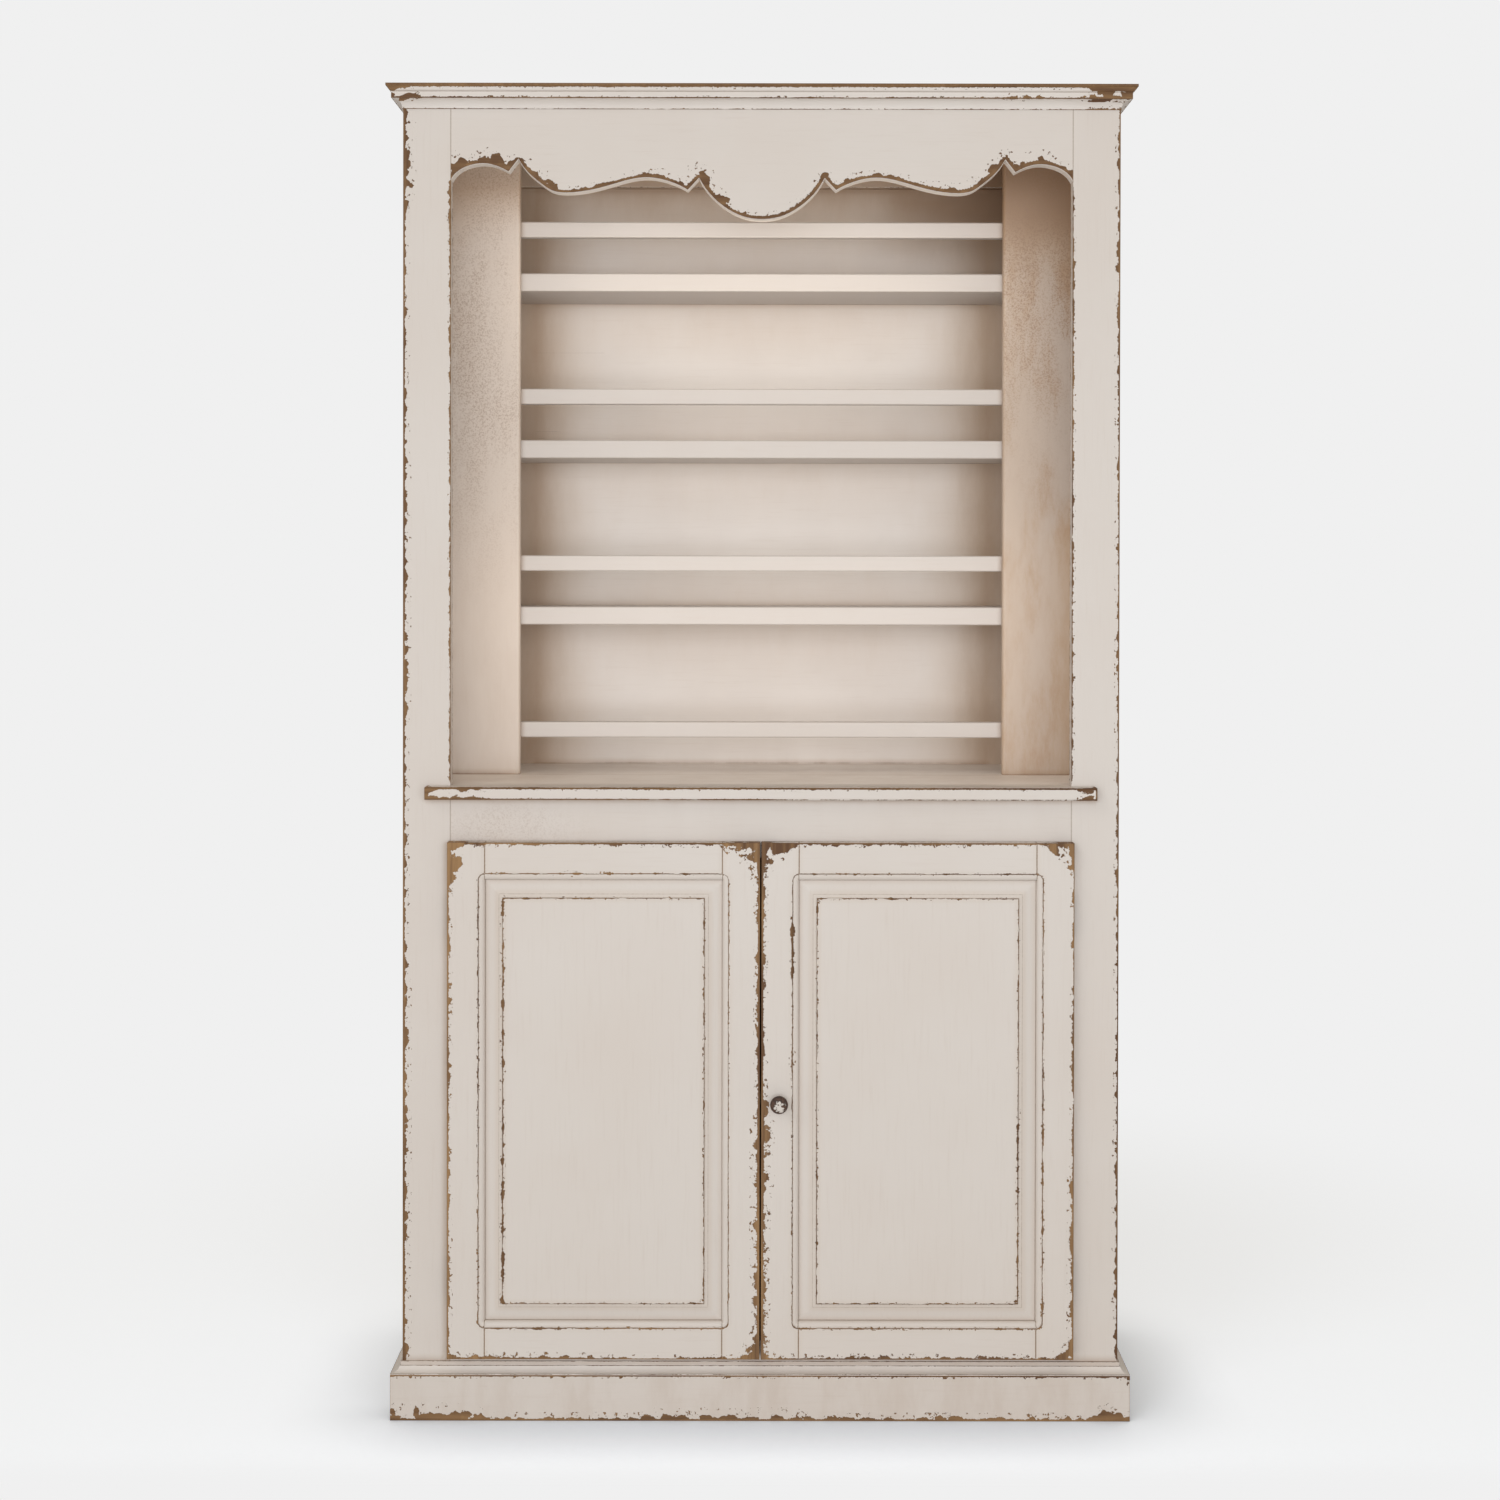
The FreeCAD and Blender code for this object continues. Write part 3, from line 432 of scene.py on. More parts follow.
# name, grain, and what differs from the usual paint
paintKinds = {
    "upright": ("cream paint on upright boards", upright, {}),
    "level": ("cream paint on level boards", level, {}),
    "inDepth": ("cream paint on side strips", inDepth, {}),
    "apron": ("speckled cream paint on the apron", level, {"soiled": 0.05, "speckled": apronSpeckles}),
    "valance": ("cream paint on the valance, lit pale underneath", level, {"litPaleBehind": -0.18, "deep": 0.65}),
    "plinth": ("scuffed cream paint on the plinth", level, {"soiled": 0.22}),
    "plinthTop": ("cream paint on the plinth's moulding", level, plinthTop),
    "rackLeft": ("soiled and shaded cream paint, left rack board", upright, leftRack),
    "rackRight": ("soiled and shaded cream paint, right rack board", upright, rightRack),
    "shelf": ("shaded cream paint on shelves", level, {"soiled": 0.03, "smokeAndShade": 0.15, "dull": 0.8}),
    "cornice": ("cream paint on the cornice", level, {"pale": 0.4}),
    "batten": ("smoked and shaded cream paint on the batten", level, battenPaint),
    "counter": ("rubbed cream paint on the counter, paler as painted light", level, {"soiled": 0.15, "smokeAndShade": 0.1, "pale": 1.0}),
    "back": ("cream paint on the back boards", level, backPaint),
    "doorUpright": ("cream paint on the doors' stiles", upright, doorPaint),
    "doorLevel": ("cream paint on the doors' rails", level, doorPaint),
    "doorPanel": ("cream paint on the doors' panels", upright, {"glaze": 0.2}),
}
paints = {key: wornPaint(*kind) for key, kind in paintKinds.items()}
timbers = {
    "level": bareTimber("bare pine, grain across", level, tones["rawPine"], tones["rawPineDark"]),
    "inDepth": bareTimber("bare pine, grain in depth", inDepth, tones["rawPine"], tones["rawPineDark"]),
}
hingeIronLook = {
    "metal": (0.09, 0.075, 0.065),
    "aged": (0.11, 0.05, 0.025),
    "agedFrom": 0.5,
    "agedTo": 0.7,
    "smooth": 0.42,
    "dull": 0.75,
    "metallic": 0.85,
}
fastenerLook = {
    "metal": (0.33, 0.31, 0.28),
    "aged": (0.16, 0.12, 0.09),
    "agedFrom": 0.5,
    "agedTo": 0.72,
    "smooth": 0.34,
    "dull": 0.6,
    "metallic": 0.9,
}
knobLook = {
    "centre": (0.0302, 0.0, 0.5018),
    "oval": (0.9, 0.0, 1.25),
    "paintTo": 0.0072,  # how far the left paint reaches from the centre
    "border": 0.0006,
    "ragged": 0.034,
    "chips": (0.60, 0.62),
    "rubs": (0.4, 0.65),
    "paintRough": 0.6,
    "metalRough": 0.64,
    "relief": 0.0003,
    "paint": (0.66, 0.61, 0.56),
    "metal": (0.030, 0.014, 0.008),
    "rubbed": (0.080, 0.038, 0.022),
}
metals = {
    "hinge_iron": oldMetal("dark hinge iron", hingeIronLook),
    "fastener_steel": oldMetal("dull steel", fastenerLook),
    "knob_metal": chippedKnob("dark knob with remains of paint", knobLook),
}
print("finishes mixed:", len(bpy.data.materials))

# surfaces of the pieces, to tell a bare edge from one that a neighbour covers
solids = {}
for node, thing in frame["nodes"].items():
    surface = bmesh.new()
    surface.from_mesh(thing.data)
    solids[node] = (BVHTree.FromBMesh(surface), *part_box(node))
    surface.free()

edgeWork = {
    "sharpFrom": math.radians(55),  # an arris is at least this sharp
    "shortest": 0.012,  # and this long
    "slanting": 0.0005,
    "round": 0.0008,  # how far an open arris is eased
    "easeFrom": math.radians(40),
    "covered": 0.0004,  # a neighbour this near covers it
    "sample": 0.006,
    "rows": (0.003, 0.009),  # extra cuts beside each arris
    "rowsApart": 0.0012,  # at least
    "spacing": 0.022,  # of the cuts along the board
    "spacingApart": 0.003,
    "onArris": 0.00002,
    "onFront": 0.00005,
    "square": 0.0001,  # an arris that strays less than this is square to the board
    "cut": 0.000001,
    "jointWidth": 0.00065,  # a joint up to this wide is closed by paint
    "farAway": 0.5,
    "steady": 0.7,  # millimetres bare along an arris, unless a board says otherwise
    "spared": 0.03,  # so far from any chip is the kept rim
}
flatBelow, smoothTo = math.radians(0.5), math.radians(35)
millimetre = 0.001


def neighboursOf(node):
    low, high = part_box(node)
    slack = edgeWork["covered"]
    near = []
    for other, (tree, otherLow, otherHigh) in solids.items():
        apart = any(otherLow[i] > high[i] + slack or otherHigh[i] < low[i] - slack for i in range(3))
        if other != node and not apart and nodeBody[other] == nodeBody[node]:
            near.append(tree)
    return near


def splitArris(start, end, near):
    count = max(2, round((end - start).length / edgeWork["sample"]))
    covered = []
    for step in range(count):
        spot = start.lerp(end, (step + 0.5) / count)
        covered.append(any(tree.find_nearest(spot, edgeWork["covered"])[0] is not None for tree in near))
    runs, first = [], 0
    for step in range(1, count + 1):
        if step == count or covered[step] != covered[first]:
            runs.append((covered[first], start.lerp(end, first / count), start.lerp(end, step / count)))
            first = step
    return runs


def shareAlong(points, start, along):
    return np.clip((points - start) @ along / max(along @ along, 1e-12), 0.0, 1.0)


def gapToLines(points, lines):
    best = np.full(len(points), edgeWork["farAway"])
    feet = points.copy()
    for start, end in lines:
        start, along = np.array(start), np.array(end) - np.array(start)
        foot = start + shareAlong(points, start, along)[:, None] * along
        gap = np.linalg.norm(points - foot, axis=1)
        nearer = gap < best
        best[nearer], feet[nearer] = gap[nearer], foot[nearer]
    return best, feet


def cutPlaces(low, high, lines, spacing, axis):
    near = set()
    for start, end in lines:
        if abs(start[axis] - end[axis]) < edgeWork["square"]:
            for row in edgeWork["rows"]:
                near |= {start[axis] - row, start[axis] + row}
    places = []
    for place in sorted(near):
        within = low + millimetre < place < high - millimetre
        if within and (not places or place - places[-1] > edgeWork["rowsApart"]):
            places.append(place)
    count = math.floor((high - low) / spacing)
    for step in range(1, count + 1):
        place = low + (high - low) * step / (count + 1)
        if all(abs(place - other) > edgeWork["spacingApart"] for other in places):
            places.append(place)
    return sorted(places)


def wearAt(feet, wear, steady, marks):
    levels = [np.full(len(feet), wear / 1000), np.full(len(feet), steady / 1000)]
    for *line, spread, chips, kept in marks:
        start, end = np.array(line[:2]) / 1000, np.array(line[2:]) / 1000
        flat, along = feet[:, (0, 2)], end - start
        gap = np.linalg.norm(flat - start - shareAlong(flat, start, along)[:, None] * along, axis=1)
        fall = np.clip(1.0 - gap * 1000 / spread, 0.0, 1.0)
        fall = fall * fall * (3.0 - 2.0 * fall)  # soft at both ends
        for i, (base, deep) in enumerate(((wear, chips), (steady, kept))):
            levels[i] = np.maximum(levels[i], (base + (deep - base) * fall) / 1000)
    return levels


# corners where dust and old varnish have gathered, with painted shade where shade falls in them, as pairs
# of points in millimetres
dustAndShadeCorners = [
    ((-402, 35.9, 998), (-402, 35.9, 2082)),
    ((402, 35.9, 998), (402, 35.9, 2082)),
    ((-543, 13.9, 998), (543, 13.9, 998)),
    ((-402, 217.9, 998), (402, 217.9, 998)),
    # painted shade under the counter's nosing
    ((-527, -180.1, 978), (527, -180.1, 978)),
    ((-565, -180.1, 89), (565, -180.1, 89)),
    # painted shadow cast by the left door on the stile beside it
    ((-494, -180.1, 99), (-494, -180.1, 905)),
]
dustAndShadeCorners += [((-402, 35.9, z), (-402, 217.9, z)) for z in (1277, 1556, 1835)]
dustAndShadeCorners += [((402, 35.9, z), (402, 217.9, z)) for z in (1277, 1556, 1835)]
dustAndShadeCorners += [((-402, 217.9, z), (402, 217.9, z)) for z in (1247, 1277, 1526, 1556, 1805, 1835, 2007)]
# and where smoke and painted shade darken the rack
smokeAndShadeCorners = [
    ((-402, 217.9, 998), (-402, 217.9, 2082)),
    ((402, 217.9, 998), (402, 217.9, 2082)),
    ((-402, 217.9, 2030), (402, 217.9, 2030)),
    ((250, 217.9, 2000), (402, 217.9, 1960)),
    ((-543, 13.9, 1975), (-402, 13.9, 1975)),
    ((-402, -60, 998), (-402, -60, 2082)),
    ((402, -60, 998), (402, -60, 2082)),
    ((402, 13.9, 1925), (543, 13.9, 1925)),
    ((402, 13.9, 1960), (543, 13.9, 1960)),
    ((402, 13.9, 2010), (543, 13.9, 2010)),
    ((570, 13.9, 998), (570, 13.9, 1350)),
]
smokeAndShadeCorners += [((-402, 310, z), (402, 310, z)) for z in (1247, 1526, 1805)]  # fainter painted shade under each shelf
dustAndShadeCorners, smokeAndShadeCorners = (
    [[[c / 1000 for c in point] for point in line] for line in lines]
    for lines in (dustAndShadeCorners, smokeAndShadeCorners)
)


def readEdges(mesh, node, look):
    near, bare, joined = neighboursOf(node), [], []
    for edge in mesh.edges:
        if not edge.is_manifold or edge.calc_length() < look.get("shortest", edgeWork["shortest"]):
            continue
        start, end = (vert.co.copy() for vert in edge.verts)
        slanting = sorted(abs(c) for c in end - start)[1] > edgeWork["slanting"]
        if edge.calc_face_angle(0.0) < look.get("sharpFrom", edgeWork["sharpFrom"]):
            continue
        if slanting and look.get("squareOnly"):
            continue
        if not edge.is_convex:
            joined.append((start, end))
            continue
        for covered, first, last in splitArris(start, end, near):
            (joined if covered else bare).append((first, last))
    return bare, joined


def cutRows(mesh, node, lines, look):
    low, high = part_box(node)
    spacing = look.get("spacing", (edgeWork["spacing"],) * 3)
    for axis in range(3):
        across = [1.0 if i == axis else 0.0 for i in range(3)]
        for place in cutPlaces(low[axis], high[axis], lines, spacing[axis], axis):
            bmesh.ops.bisect_plane(
                mesh,
                geom=list(mesh.verts) + list(mesh.edges) + list(mesh.faces),
                dist=edgeWork["cut"],
                plane_co=[c * place for c in across],
                plane_no=across,
            )


def roundOver(mesh, edges, offset, clamped):
    bmesh.ops.bevel(
        mesh,
        geom=edges,
        offset=offset,
        segments=3,
        profile=0.5,
        affect="EDGES",
        clamp_overlap=clamped,
        material=-1,
    )


def canEase(edge):
    return edge.is_manifold and edge.is_convex and edge.calc_face_angle(0.0) > edgeWork["easeFrom"]


def easeRim(mesh, look):
    front = min(vert.co.y for vert in mesh.verts) + edgeWork["onArris"]
    rim = []
    for edge in mesh.edges:
        ahead = all(vert.co.y < front and vert.co.z < look["rimBelow"] for vert in edge.verts)
        if ahead and canEase(edge):
            rim.append(edge)
    roundOver(mesh, rim, look["keptRim"], False)


def easeArrises(mesh, bare, look):
    mesh.verts.index_update()
    gap = gapToLines(np.array([vert.co[:] for vert in mesh.verts]), bare)[0]
    eased = []
    for edge in mesh.edges:
        if max(gap[vert.index] for vert in edge.verts) < edgeWork["onArris"] and canEase(edge):
            eased.append(edge)
    roundOver(mesh, eased, look.get("ease", edgeWork["round"]), True)


def paintedCopy(node, look):
    mesh = bmesh.new()
    mesh.from_mesh(frame["nodes"][node].data)
    bmesh.ops.remove_doubles(mesh, verts=mesh.verts, dist=edgeWork["onArris"])
    if "fillJoints" in look:  # paint has closed the joints between boards
        front = [vert for vert in mesh.verts if vert.co.y < look["fillJoints"]]
        bmesh.ops.remove_doubles(mesh, verts=front, dist=edgeWork["jointWidth"])
    bmesh.ops.dissolve_limit(mesh, angle_limit=flatBelow, verts=mesh.verts, edges=mesh.edges)
    bare, joined = readEdges(mesh, node, look)
    if "keptRim" in look:
        easeRim(mesh, look)
    for store, extra in ((bare, look.get("lines", ())), (joined, look.get("seams", ()))):
        store.extend(tuple(Vector(point) / 1000 for point in line) for line in extra)
    cutRows(mesh, node, bare + joined, look)
    easeArrises(mesh, bare, look)
    piece = placePiece(node + "_painted", mesh, paints[look["paint"]], nodeBody[node])
    writeReadings(piece, node, bare, joined, look)
    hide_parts(node)


# what the paints read at each point of a piece
def writeReadings(piece, node, bare, joined, look):
    spots = np.array([vert.co[:] for vert in piece.data.vertices])
    gap, feet = gapToLines(spots, bare)
    steady = look.get("steady", edgeWork["steady"])
    reach, steady = wearAt(feet, look["wear"], steady, look.get("marks", ()))
    if "keptRim" in look:  # the chips start above the rounded rim
        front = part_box(node)[0][1] + edgeWork["onFront"]
        gap = np.where(spots[:, 1] < front, gap - look["keptRim"], edgeWork["spared"])
    readings = {
        "edgeGap": gap,
        "edgeReach": reach,
        "edgeSteady": steady,
        "seamGap": gapToLines(spots, joined)[0],
        "dustAndShadeGap": gapToLines(spots, dustAndShadeCorners)[0],
        "smokeAndShadeGap": gapToLines(spots, smokeAndShadeCorners)[0],
    }
    for name, values in readings.items():
        layer = piece.data.attributes.new(name, "FLOAT", "POINT")
        layer.data.foreach_set("value", values.astype(np.float32))


def placePiece(name, mesh, material, body):
    data = bpy.data.meshes.new(name)
    mesh.to_mesh(data)
    mesh.free()
    data.shade_smooth()
    data.set_sharp_from_angle(angle=smoothTo)
    data.materials.append(material)
    piece = bpy.data.objects.new(name, data)
    bpy.context.scene.collection.objects.link(piece)
    piece.modifiers.new("even shading", "WEIGHTED_NORMAL").keep_sharp = True
    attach(piece, body)
    return piece


# a wear mark is x, z, x, z of a stretch of arris, how far it fades out, how deep its chips go
# and how wide the line is that is bare all along, in millimetres
faceFrame = {
    "frame_stile_left": {
        "paint": "upright",
        "wear": 1.2,
        "steady": 0.8,
        "marks": [
            (-565, 90, -565, 2064, 12, 4.4, 3.2),
            (-565, 1945, -565, 2045, 70, 8.0, 4.0),
            (-565, 1100, -565, 1500, 60, 5.2, 3.4),
            (-565, 90, -565, 700, 90, 5.6, 4.0),
            (-490, 1010, -490, 1930, 12, 1.9, 1.1),
            (-490, 1860, -490, 1940, 40, 3.0, 1.8),
        ],
    },
    "frame_stile_right": {
        "paint": "upright",
        "wear": 1.2,
        "steady": 0.8,
        "marks": [
            (565, 90, 565, 2064, 12, 3.2, 2.2),
            (565, 1500, 565, 2050, 60, 3.5, 2.3),
            (565, 90, 565, 420, 90, 3.9, 2.4),
            (490, 1010, 490, 1930, 12, 2.3, 1.4),
        ],
    },
    "apron_rail": {"paint": "apron", "wear": 0.3, "steady": 0.2},
    "bottom_rail": {"paint": "level", "wear": 0.3, "steady": 0.2},
    "valance_board": {
        "paint": "valance",
        "wear": 3.4,
        "steady": 3.0,
        "shortest": 0.0005,
        "keptRim": 0.0008,
        "rimBelow": 2.0,
        "spacing": (0.006, 0.022, 0.006),
        "marks": [
            (-478, 1966, -396, 1972, 24, 12.5, 7.0),
            (-380, 1968, -335, 1938, 22, 8.5, 6.5),
            (-330, 1934, -210, 1950, 16, 4.4, 4.2),
            (-190, 1956, -104, 1946, 30, 6.5, 4.6),
            (-98, 1955, -66, 1918, 22, 10.0, 6.0),
            (-50, 1893, 50, 1893, 24, 4.6, 5.0),
            (50, 1904, 96, 1950, 24, 5.5, 5.6),
            (120, 1946, 330, 1932, 24, 6.2, 5.6),
            (336, 1940, 384, 1975, 30, 7.8, 6.4),
            (396, 1976, 450, 1978, 26, 9.0, 6.2),
            (450, 1978, 484, 1962, 20, 6.0, 5.0),
        ],
    },
}
for node, look in faceFrame.items():
    paintedCopy(node, look)
print("face frame painted")

trim = {
    "cornice_front": {
        "paint": "cornice",
        "wear": 0.8,
        "steady": 1.0,
        "spacing": (0.012, 0.022, 0.004),
        "marks": [
            (-589, 2100, 589, 2100, 12, 3, 4.5),
            (524, 2088, 580, 2086, 30, 17, 4.0),
            (-582, 2092, -556, 2084, 24, 13, 3.0),
            (392, 2080, 430, 2080, 18, 4, 1.0),
            (-582, 2078, 582, 2078, 6, 1.5, 1.7),
        ],
    },
    "cornice_left": {
        "paint": "inDepth",
        "wear": 1.2,
        "spacing": (0.022, 0.015, 0.004),
        "marks": [(-589, 2100, -589, 2100, 6, 5, 5)],
    },
    "cornice_right": {
        "paint": "inDepth",
        "wear": 1.2,
        "spacing": (0.022, 0.015, 0.004),
        "marks": [(589, 2100, 589, 2100, 6, 6, 5)],
    },
    "counter_nosing": {
        "paint": "level",
        "wear": 0.7,
        "steady": 0.5,
        "spacing": (0.012, 0.006, 0.004),
        "lines": [
            ((-527, -205.8, 996.7), (527, -205.8, 996.7)),
            ((-527, -205.8, 979.3), (527, -205.8, 979.3)),
        ],
        "marks": [
            (-527, 996.7, 527, 996.7, 8, 1.8, 1.9),
            (-527, 979.3, 20, 979.3, 8, 1.2, 1.6),
            (-530, 988, -445, 988, 26, 5.5, 3.0),
            (512, 988, 530, 988, 24, 7, 3.0),
        ],
    },
    "plinth_front": {
        "paint": "plinth",
        "wear": 1.1,
        "steady": 1.5,
        "lines": [((-582, -197.1, 72), (582, -197.1, 72))],
        "marks": [
            (-582, 0, -450, 0, 30, 11, 3.4),
            (-582, 0, 582, 0, 14, 5.4, 3.2),
            (-170, 0, 60, 0, 26, 8.5, 3.4),
            (-582, 0, -582, 72, 12, 4.4, 3.6),
            (-582, 72, 582, 72, 10, 2.2, 2.5),
            (545, 0, 582, 0, 34, 12, 4.0),
            (582, 0, 582, 72, 14, 7.5, 3.4),
        ],
    },
    "plinth_left": {"paint": "inDepth", "wear": 1.6, "steady": 1.2},
    "plinth_right": {"paint": "inDepth", "wear": 1.6, "steady": 1.2},
    "plinth_moulding_front": {"paint": "plinthTop", "wear": 0.4, "spacing": (0.015, 0.006, 0.006)},
    "plinth_moulding_left": {"paint": "inDepth", "wear": 0.4, "spacing": (0.006, 0.015, 0.006)},
    "plinth_moulding_right": {"paint": "inDepth", "wear": 0.4, "spacing": (0.006, 0.015, 0.006)},
}
for node, look in trim.items():
    paintedCopy(node, look)
print("cornice, nosing and plinth painted")

carcass = {
    "side_panel_left": {"paint": "upright", "wear": 1.2},
    "side_panel_right": {"paint": "upright", "wear": 1.2},
    "top_board": {"paint": "level", "wear": 1.2},
    "counter_board": {"paint": "counter", "wear": 0.6},
    "upper_back_boards": {
        "paint": "back",
        "wear": 0.3,
        "steady": 0.1,
        "spacing": (0.04, 0.05, 0.02),
        "fillJoints": 0.2180,
        "seams": [  # faint lines rubbed by the plates' rims
            ((-398, 217.9, 1719), (-262, 217.9, 1719)),
            ((-398, 217.9, 1582), (-335, 217.9, 1582)),
            ((-398, 217.9, 1197), (-190, 217.9, 1197)),
        ],
    },
    "back_top_batten": {"paint": "batten", "wear": 0.5, "steady": 0.2},
    "rack_board_left": {"paint": "rackLeft", "wear": 0.3, "steady": 0.2, "ease": 0.0025},
    "rack_board_right": {"paint": "rackRight", "wear": 0.3, "steady": 0.2, "ease": 0.0025},
}
for number in (1, 2, 3):
    carcass["plate_shelf_%d" % number] = {"paint": "shelf", "wear": 0.4, "steady": 0.2}
for number in (1, 2, 3, 4):
    carcass["plate_rail_%d" % number] = {"paint": "shelf", "wear": 0.4, "steady": 0.2}
for node, look in carcass.items():
    paintedCopy(node, look)
print("carcass and plate rack painted")

doorMarks = {
    "left_door": [
        (-492, 911, -1, 911, 10, 3.0, 2.6),
        (-492, 99, -1, 99, 10, 3.2, 1.9),
        (-492, 99, -280, 99, 14, 4.6, 3.0),
        (-492, 99, -492, 911, 10, 3.7, 2.7),
        (-1, 99, -1, 911, 10, 4.0, 3.2),
        (-1, 99, -1, 470, 40, 6.2, 4.2),
        (-488, 911, -486, 880, 46, 21, 7),
        (-24, 911, -2, 885, 50, 17, 6),
        (-10, 99, -2, 115, 36, 14, 5),
        (-490, 99, -484, 101, 22, 7, 2),
        (-302, 862, -296, 862, 8, 2.4, 1.4),
        (-239, 862, -233, 862, 8, 2.4, 1.4),
        (-405, 186, -405, 824, 8, 2.2, 1.5),
    ],
    "right_door": [
        (1, 911, 492, 911, 10, 3.0, 2.4),
        (1, 99, 492, 99, 10, 3.8, 2.5),
        (492, 99, 492, 911, 10, 2.8, 1.5),
        (492, 99, 492, 380, 60, 4.3, 2.4),
        (1, 99, 1, 911, 10, 4.2, 3.4),
        (1, 99, 1, 470, 40, 6.2, 4.2),
        (2, 890, 24, 911, 48, 15, 5),
        (474, 911, 490, 895, 42, 16, 6),
        (2, 100, 8, 99, 28, 10, 3),
        (490, 104, 480, 99, 36, 14, 3),
        (1, 380, 1, 480, 50, 9, 5),
        (50, 720, 50, 783, 16, 2.4, 2.2),
        (50, 562, 50, 578, 14, 2.6, 2.0),
        (405, 186, 405, 500, 60, 1.8, 1.5),
    ],
}
doorWork = {
    "hinge_stile": {"paint": "doorUpright", "wear": 1.1, "steady": 0.85, "shortest": 0.0007},
    "meeting_stile": {"paint": "doorUpright", "wear": 0.9, "steady": 0.65, "shortest": 0.0007},
    "top_rail": {"paint": "doorLevel", "wear": 1.2, "steady": 1.4},
    "bottom_rail": {"paint": "doorLevel", "wear": 1.2, "steady": 1.1},
}
panelWork = {
    "paint": "doorPanel",
    "wear": 1.3,
    "steady": 1.05,
    "sharpFrom": math.radians(10),
    "squareOnly": True,
    "ease": 0.0004,
}
# millimetres: the panel's edges as seen, its margin, and the depths of its foot and its field
panelSight, panelMargin, panelFoot, panelTop = (60.2, 433.0, 158.0, 852.0), 21.5, -192.8, -198.1


def outline(side, inset, depth):
    x0, x1, z0, z1 = panelSight
    x0, x1, z0, z1 = side * (x0 + inset), side * (x1 - inset), z0 + inset, z1 - inset
    corners = [(x0, depth, z0), (x1, depth, z0), (x1, depth, z1), (x0, depth, z1)]
    return [(corners[i], corners[(i + 1) % 4]) for i in range(4)]


for door, marks in doorMarks.items():
    for part, look in doorWork.items():
        paintedCopy(door + "_" + part, {**look, "marks": marks})
    side = -1 if door == "left_door" else 1
    seams = outline(side, 0.0, panelFoot) + outline(side, panelMargin, panelTop)
    paintedCopy(door + "_panel", {**panelWork, "seams": seams, "marks": marks[-1:]})
print("doors painted")

# inner wood and metal keep their CAD meshes and take a finish
timberGrain = {"floor_board": "level", "cupboard_shelf": "level", "lower_back_boards": "level"}
for node, thing in frame["nodes"].items():
    if nodeSlot[node] == "painted_wood":
        continue
    finish = metals.get(nodeSlot[node]) or timbers[timberGrain.get(node, "inDepth")]
    thing.data.materials.clear()
    thing.data.materials.append(finish)
print("inner wood and metal finished")

# floor, light and camera
stage = {
    "floorSize": 14.0,
    "background": 0.871,
    "worldLevel": 0.40,  # light that comes from all around
    "worldTint": (1.07, 0.97, 0.80),
    "floorColour": 0.80,
    "floorSeen": (0.72, 0.775, 0.87),
    "floorLift": 0.475,  # light of its own that the floor shows
    "shadeWidth": 0.20,
    "shadeInFront": 1.8,
    "inFront": (-0.12, -0.20),  # the shade in front grows between these depths
    "shadeRight": 1.8,
    "rightOf": (0.54, 0.60),  # and the shade on the right between these places
    "clearAround": (0.9, 2.2),  # the floor turns into the plain background
    "clearInFront": (-0.30, -0.44),
}
floorMesh = bmesh.new()
bmesh.ops.create_grid(floorMesh, x_segments=8, y_segments=8, size=stage["floorSize"])
floorData = bpy.data.meshes.new("studio_floor")
floorMesh.to_mesh(floorData)
floorMesh.free()
floor = bpy.data.objects.new("studio_floor", floorData)
bpy.context.scene.collection.objects.link(floor)


# whether a ray shows the stage itself and doesn't just light it
def seenDirectly(tree):
    rays = put(tree, "LightPath").outputs
    mirrored = calc(tree, "MAXIMUM", rays["Is Glossy Ray"], rays["Is Transmission Ray"])
    return calc(tree, "MAXIMUM", rays["Is Camera Ray"], mirrored)


white = (1.0, 1.0, 1.0)
floorFinish, tree = startMaterial("pale studio floor")
where = put(tree, "TexCoord").outputs["Object"]
seen = seenDirectly(tree)
# for the camera most of the floor's pale tone is its own, so the object's shadow stays faint
grey = blend(tree, seen, (stage["floorColour"],) * 3, stage["floorSeen"])
matt = put(tree, "BsdfDiffuse", {"Color": grey}).outputs[0]
nearBy = put(tree, "AmbientOcclusion", {"Distance": stage["shadeWidth"]}).outputs["AO"]
# darker in front and to the right, where the lamps don't reach under the plinth
sideways, forward = put(tree, "SeparateXYZ", {0: where}).outputs[:2]
front = fade(tree, forward, *stage["inFront"], 1.0, stage["shadeInFront"])
right = fade(tree, sideways, *stage["rightOf"], 1.0, stage["shadeRight"])
shaded = calc(tree, "POWER", nearBy, calc(tree, "MAXIMUM", front, right))
lift = calc(tree, "MULTIPLY", calc(tree, "MULTIPLY", seen, stage["floorLift"]), shaded)
glow = put(tree, "Emission", {"Color": (*white, 1.0), "Strength": lift}).outputs[0]
lit = put(tree, "AddShader", {0: matt, 1: glow}).outputs[0]
away = put(tree, "VectorMath", {0: where}, operation="LENGTH").outputs["Value"]
around, ahead = fade(tree, away, *stage["clearAround"]), fade(tree, forward, *stage["clearInFront"])
clear = calc(tree, "MULTIPLY", calc(tree, "MAXIMUM", around, ahead), seen)
plain = put(tree, "Emission", {"Color": (*white, 1.0), "Strength": stage["background"]}).outputs[0]
surface = put(tree, "MixShader", {0: clear, 1: lit, 2: plain}).outputs[0]
put(tree, "OutputMaterial", {"Surface": surface})
floorData.materials.append(floorFinish)

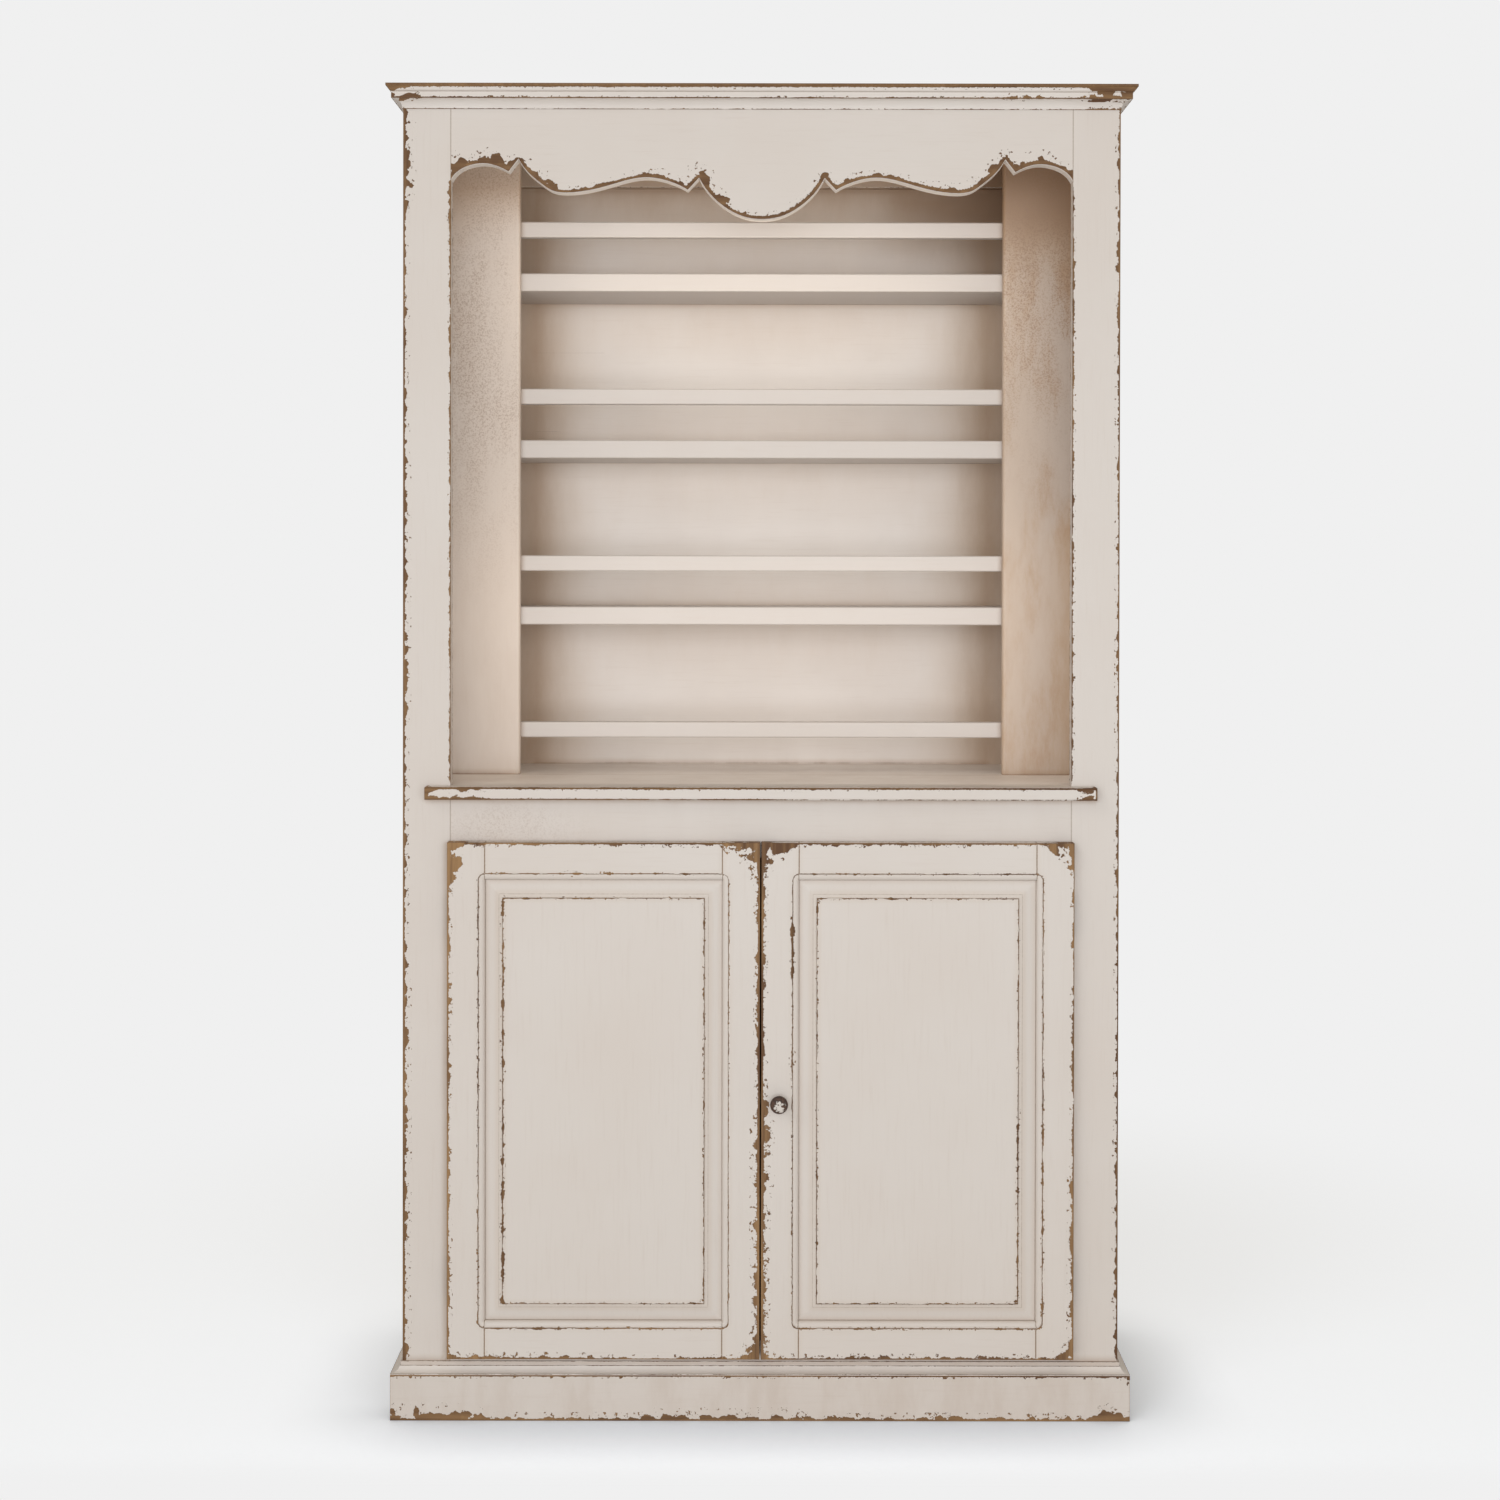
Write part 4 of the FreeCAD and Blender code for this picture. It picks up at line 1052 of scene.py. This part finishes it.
world = bpy.data.worlds.new("pale studio")
bpy.context.scene.world = world
world.use_nodes = True
tree = world.node_tree
tree.nodes.clear()
seen = seenDirectly(tree)
brighter = stage["background"] - stage["worldLevel"]
strength = calc(tree, "MULTIPLY_ADD", seen, brighter, stage["worldLevel"])
tint = blend(tree, seen, stage["worldTint"], white)
sky = put(tree, "Background", {"Color": tint, "Strength": strength}).outputs[0]
put(tree, "OutputWorld", {"Surface": sky})

# name, degrees round from the front (left is negative), degrees up, strength, softness in degrees
lamps = [
    ("level lamp", 0, 2, 0.16, 20),
    ("high lamp", -40, 33, 0.31, 26),
]
for name, aside, up, energy, softness in lamps:
    lampData = bpy.data.lights.new(name, "SUN")
    lampData.energy, lampData.angle = energy, math.radians(softness)
    lamp = bpy.data.objects.new(name, lampData)
    bpy.context.scene.collection.objects.link(lamp)
    turn, rise = math.radians(aside), math.radians(up)
    towards = Vector((math.sin(turn) * math.cos(rise), -math.cos(turn) * math.cos(rise), math.sin(rise)))
    lamp.rotation_euler = (-towards).to_track_quat("-Z", "Y").to_euler()

# name, place, what it faces, width and height, watts, colour
cards = [
    ("large front card", (0.0, -4.2, 1.33), (0.0, 0.0, 1.33), (4.6, 2.1), 80.5, (0.94, 1.0, 1.08)),
    ("rack fill card", (0.0, -0.15, 1.64), (0.0, 0.2, 1.64), (0.96, 0.84), 0.45, (1.10, 1.0, 0.88)),
    ("counter fill card", (0.0, -0.15, 1.20), (0.0, 0.2, 1.20), (0.96, 0.40), 0.42, (1.10, 1.0, 0.88)),
    ("upper fill card", (0.0, -0.14, 1.80), (0.0, 0.2, 1.95), (0.70, 0.16), 0.34, (1.12, 1.0, 0.84)),
]
for name, place, faced, size, watts, tint in cards:
    cardData = bpy.data.lights.new(name, "AREA")
    cardData.shape, cardData.energy, cardData.color = "RECTANGLE", watts, tint
    cardData.size, cardData.size_y = size
    card = bpy.data.objects.new(name, cardData)
    bpy.context.scene.collection.objects.link(card)
    card.location = place
    card.rotation_euler = (Vector(faced) - card.location).to_track_quat("-Z", "Y").to_euler()
    card.visible_camera = False

view = {
    "place": (-0.0009, -3.6337, 1.3402),
    "down": 0.412,
    "turn": -0.034,
    "roll": 0.095,
    "lens": 52.569,
    "sensor": 36.0,
    "shift": (-0.008, -0.11),
}
cameraData = bpy.data.cameras.new("camera")
cameraData.lens, cameraData.sensor_width = view["lens"], view["sensor"]
cameraData.shift_x, cameraData.shift_y = view["shift"]
camera = bpy.data.objects.new("camera", cameraData)
bpy.context.scene.collection.objects.link(camera)
camera.matrix_world = (
    Matrix.Translation(view["place"])
    @ Matrix.Rotation(math.radians(view["turn"]), 4, "Z")
    @ Matrix.Rotation(math.radians(90 - view["down"]), 4, "X")
    @ Matrix.Rotation(math.radians(view["roll"]), 4, "Z")
)
bpy.context.scene.camera = camera
bpy.context.scene.view_settings.view_transform = "Standard"
print("stage set")
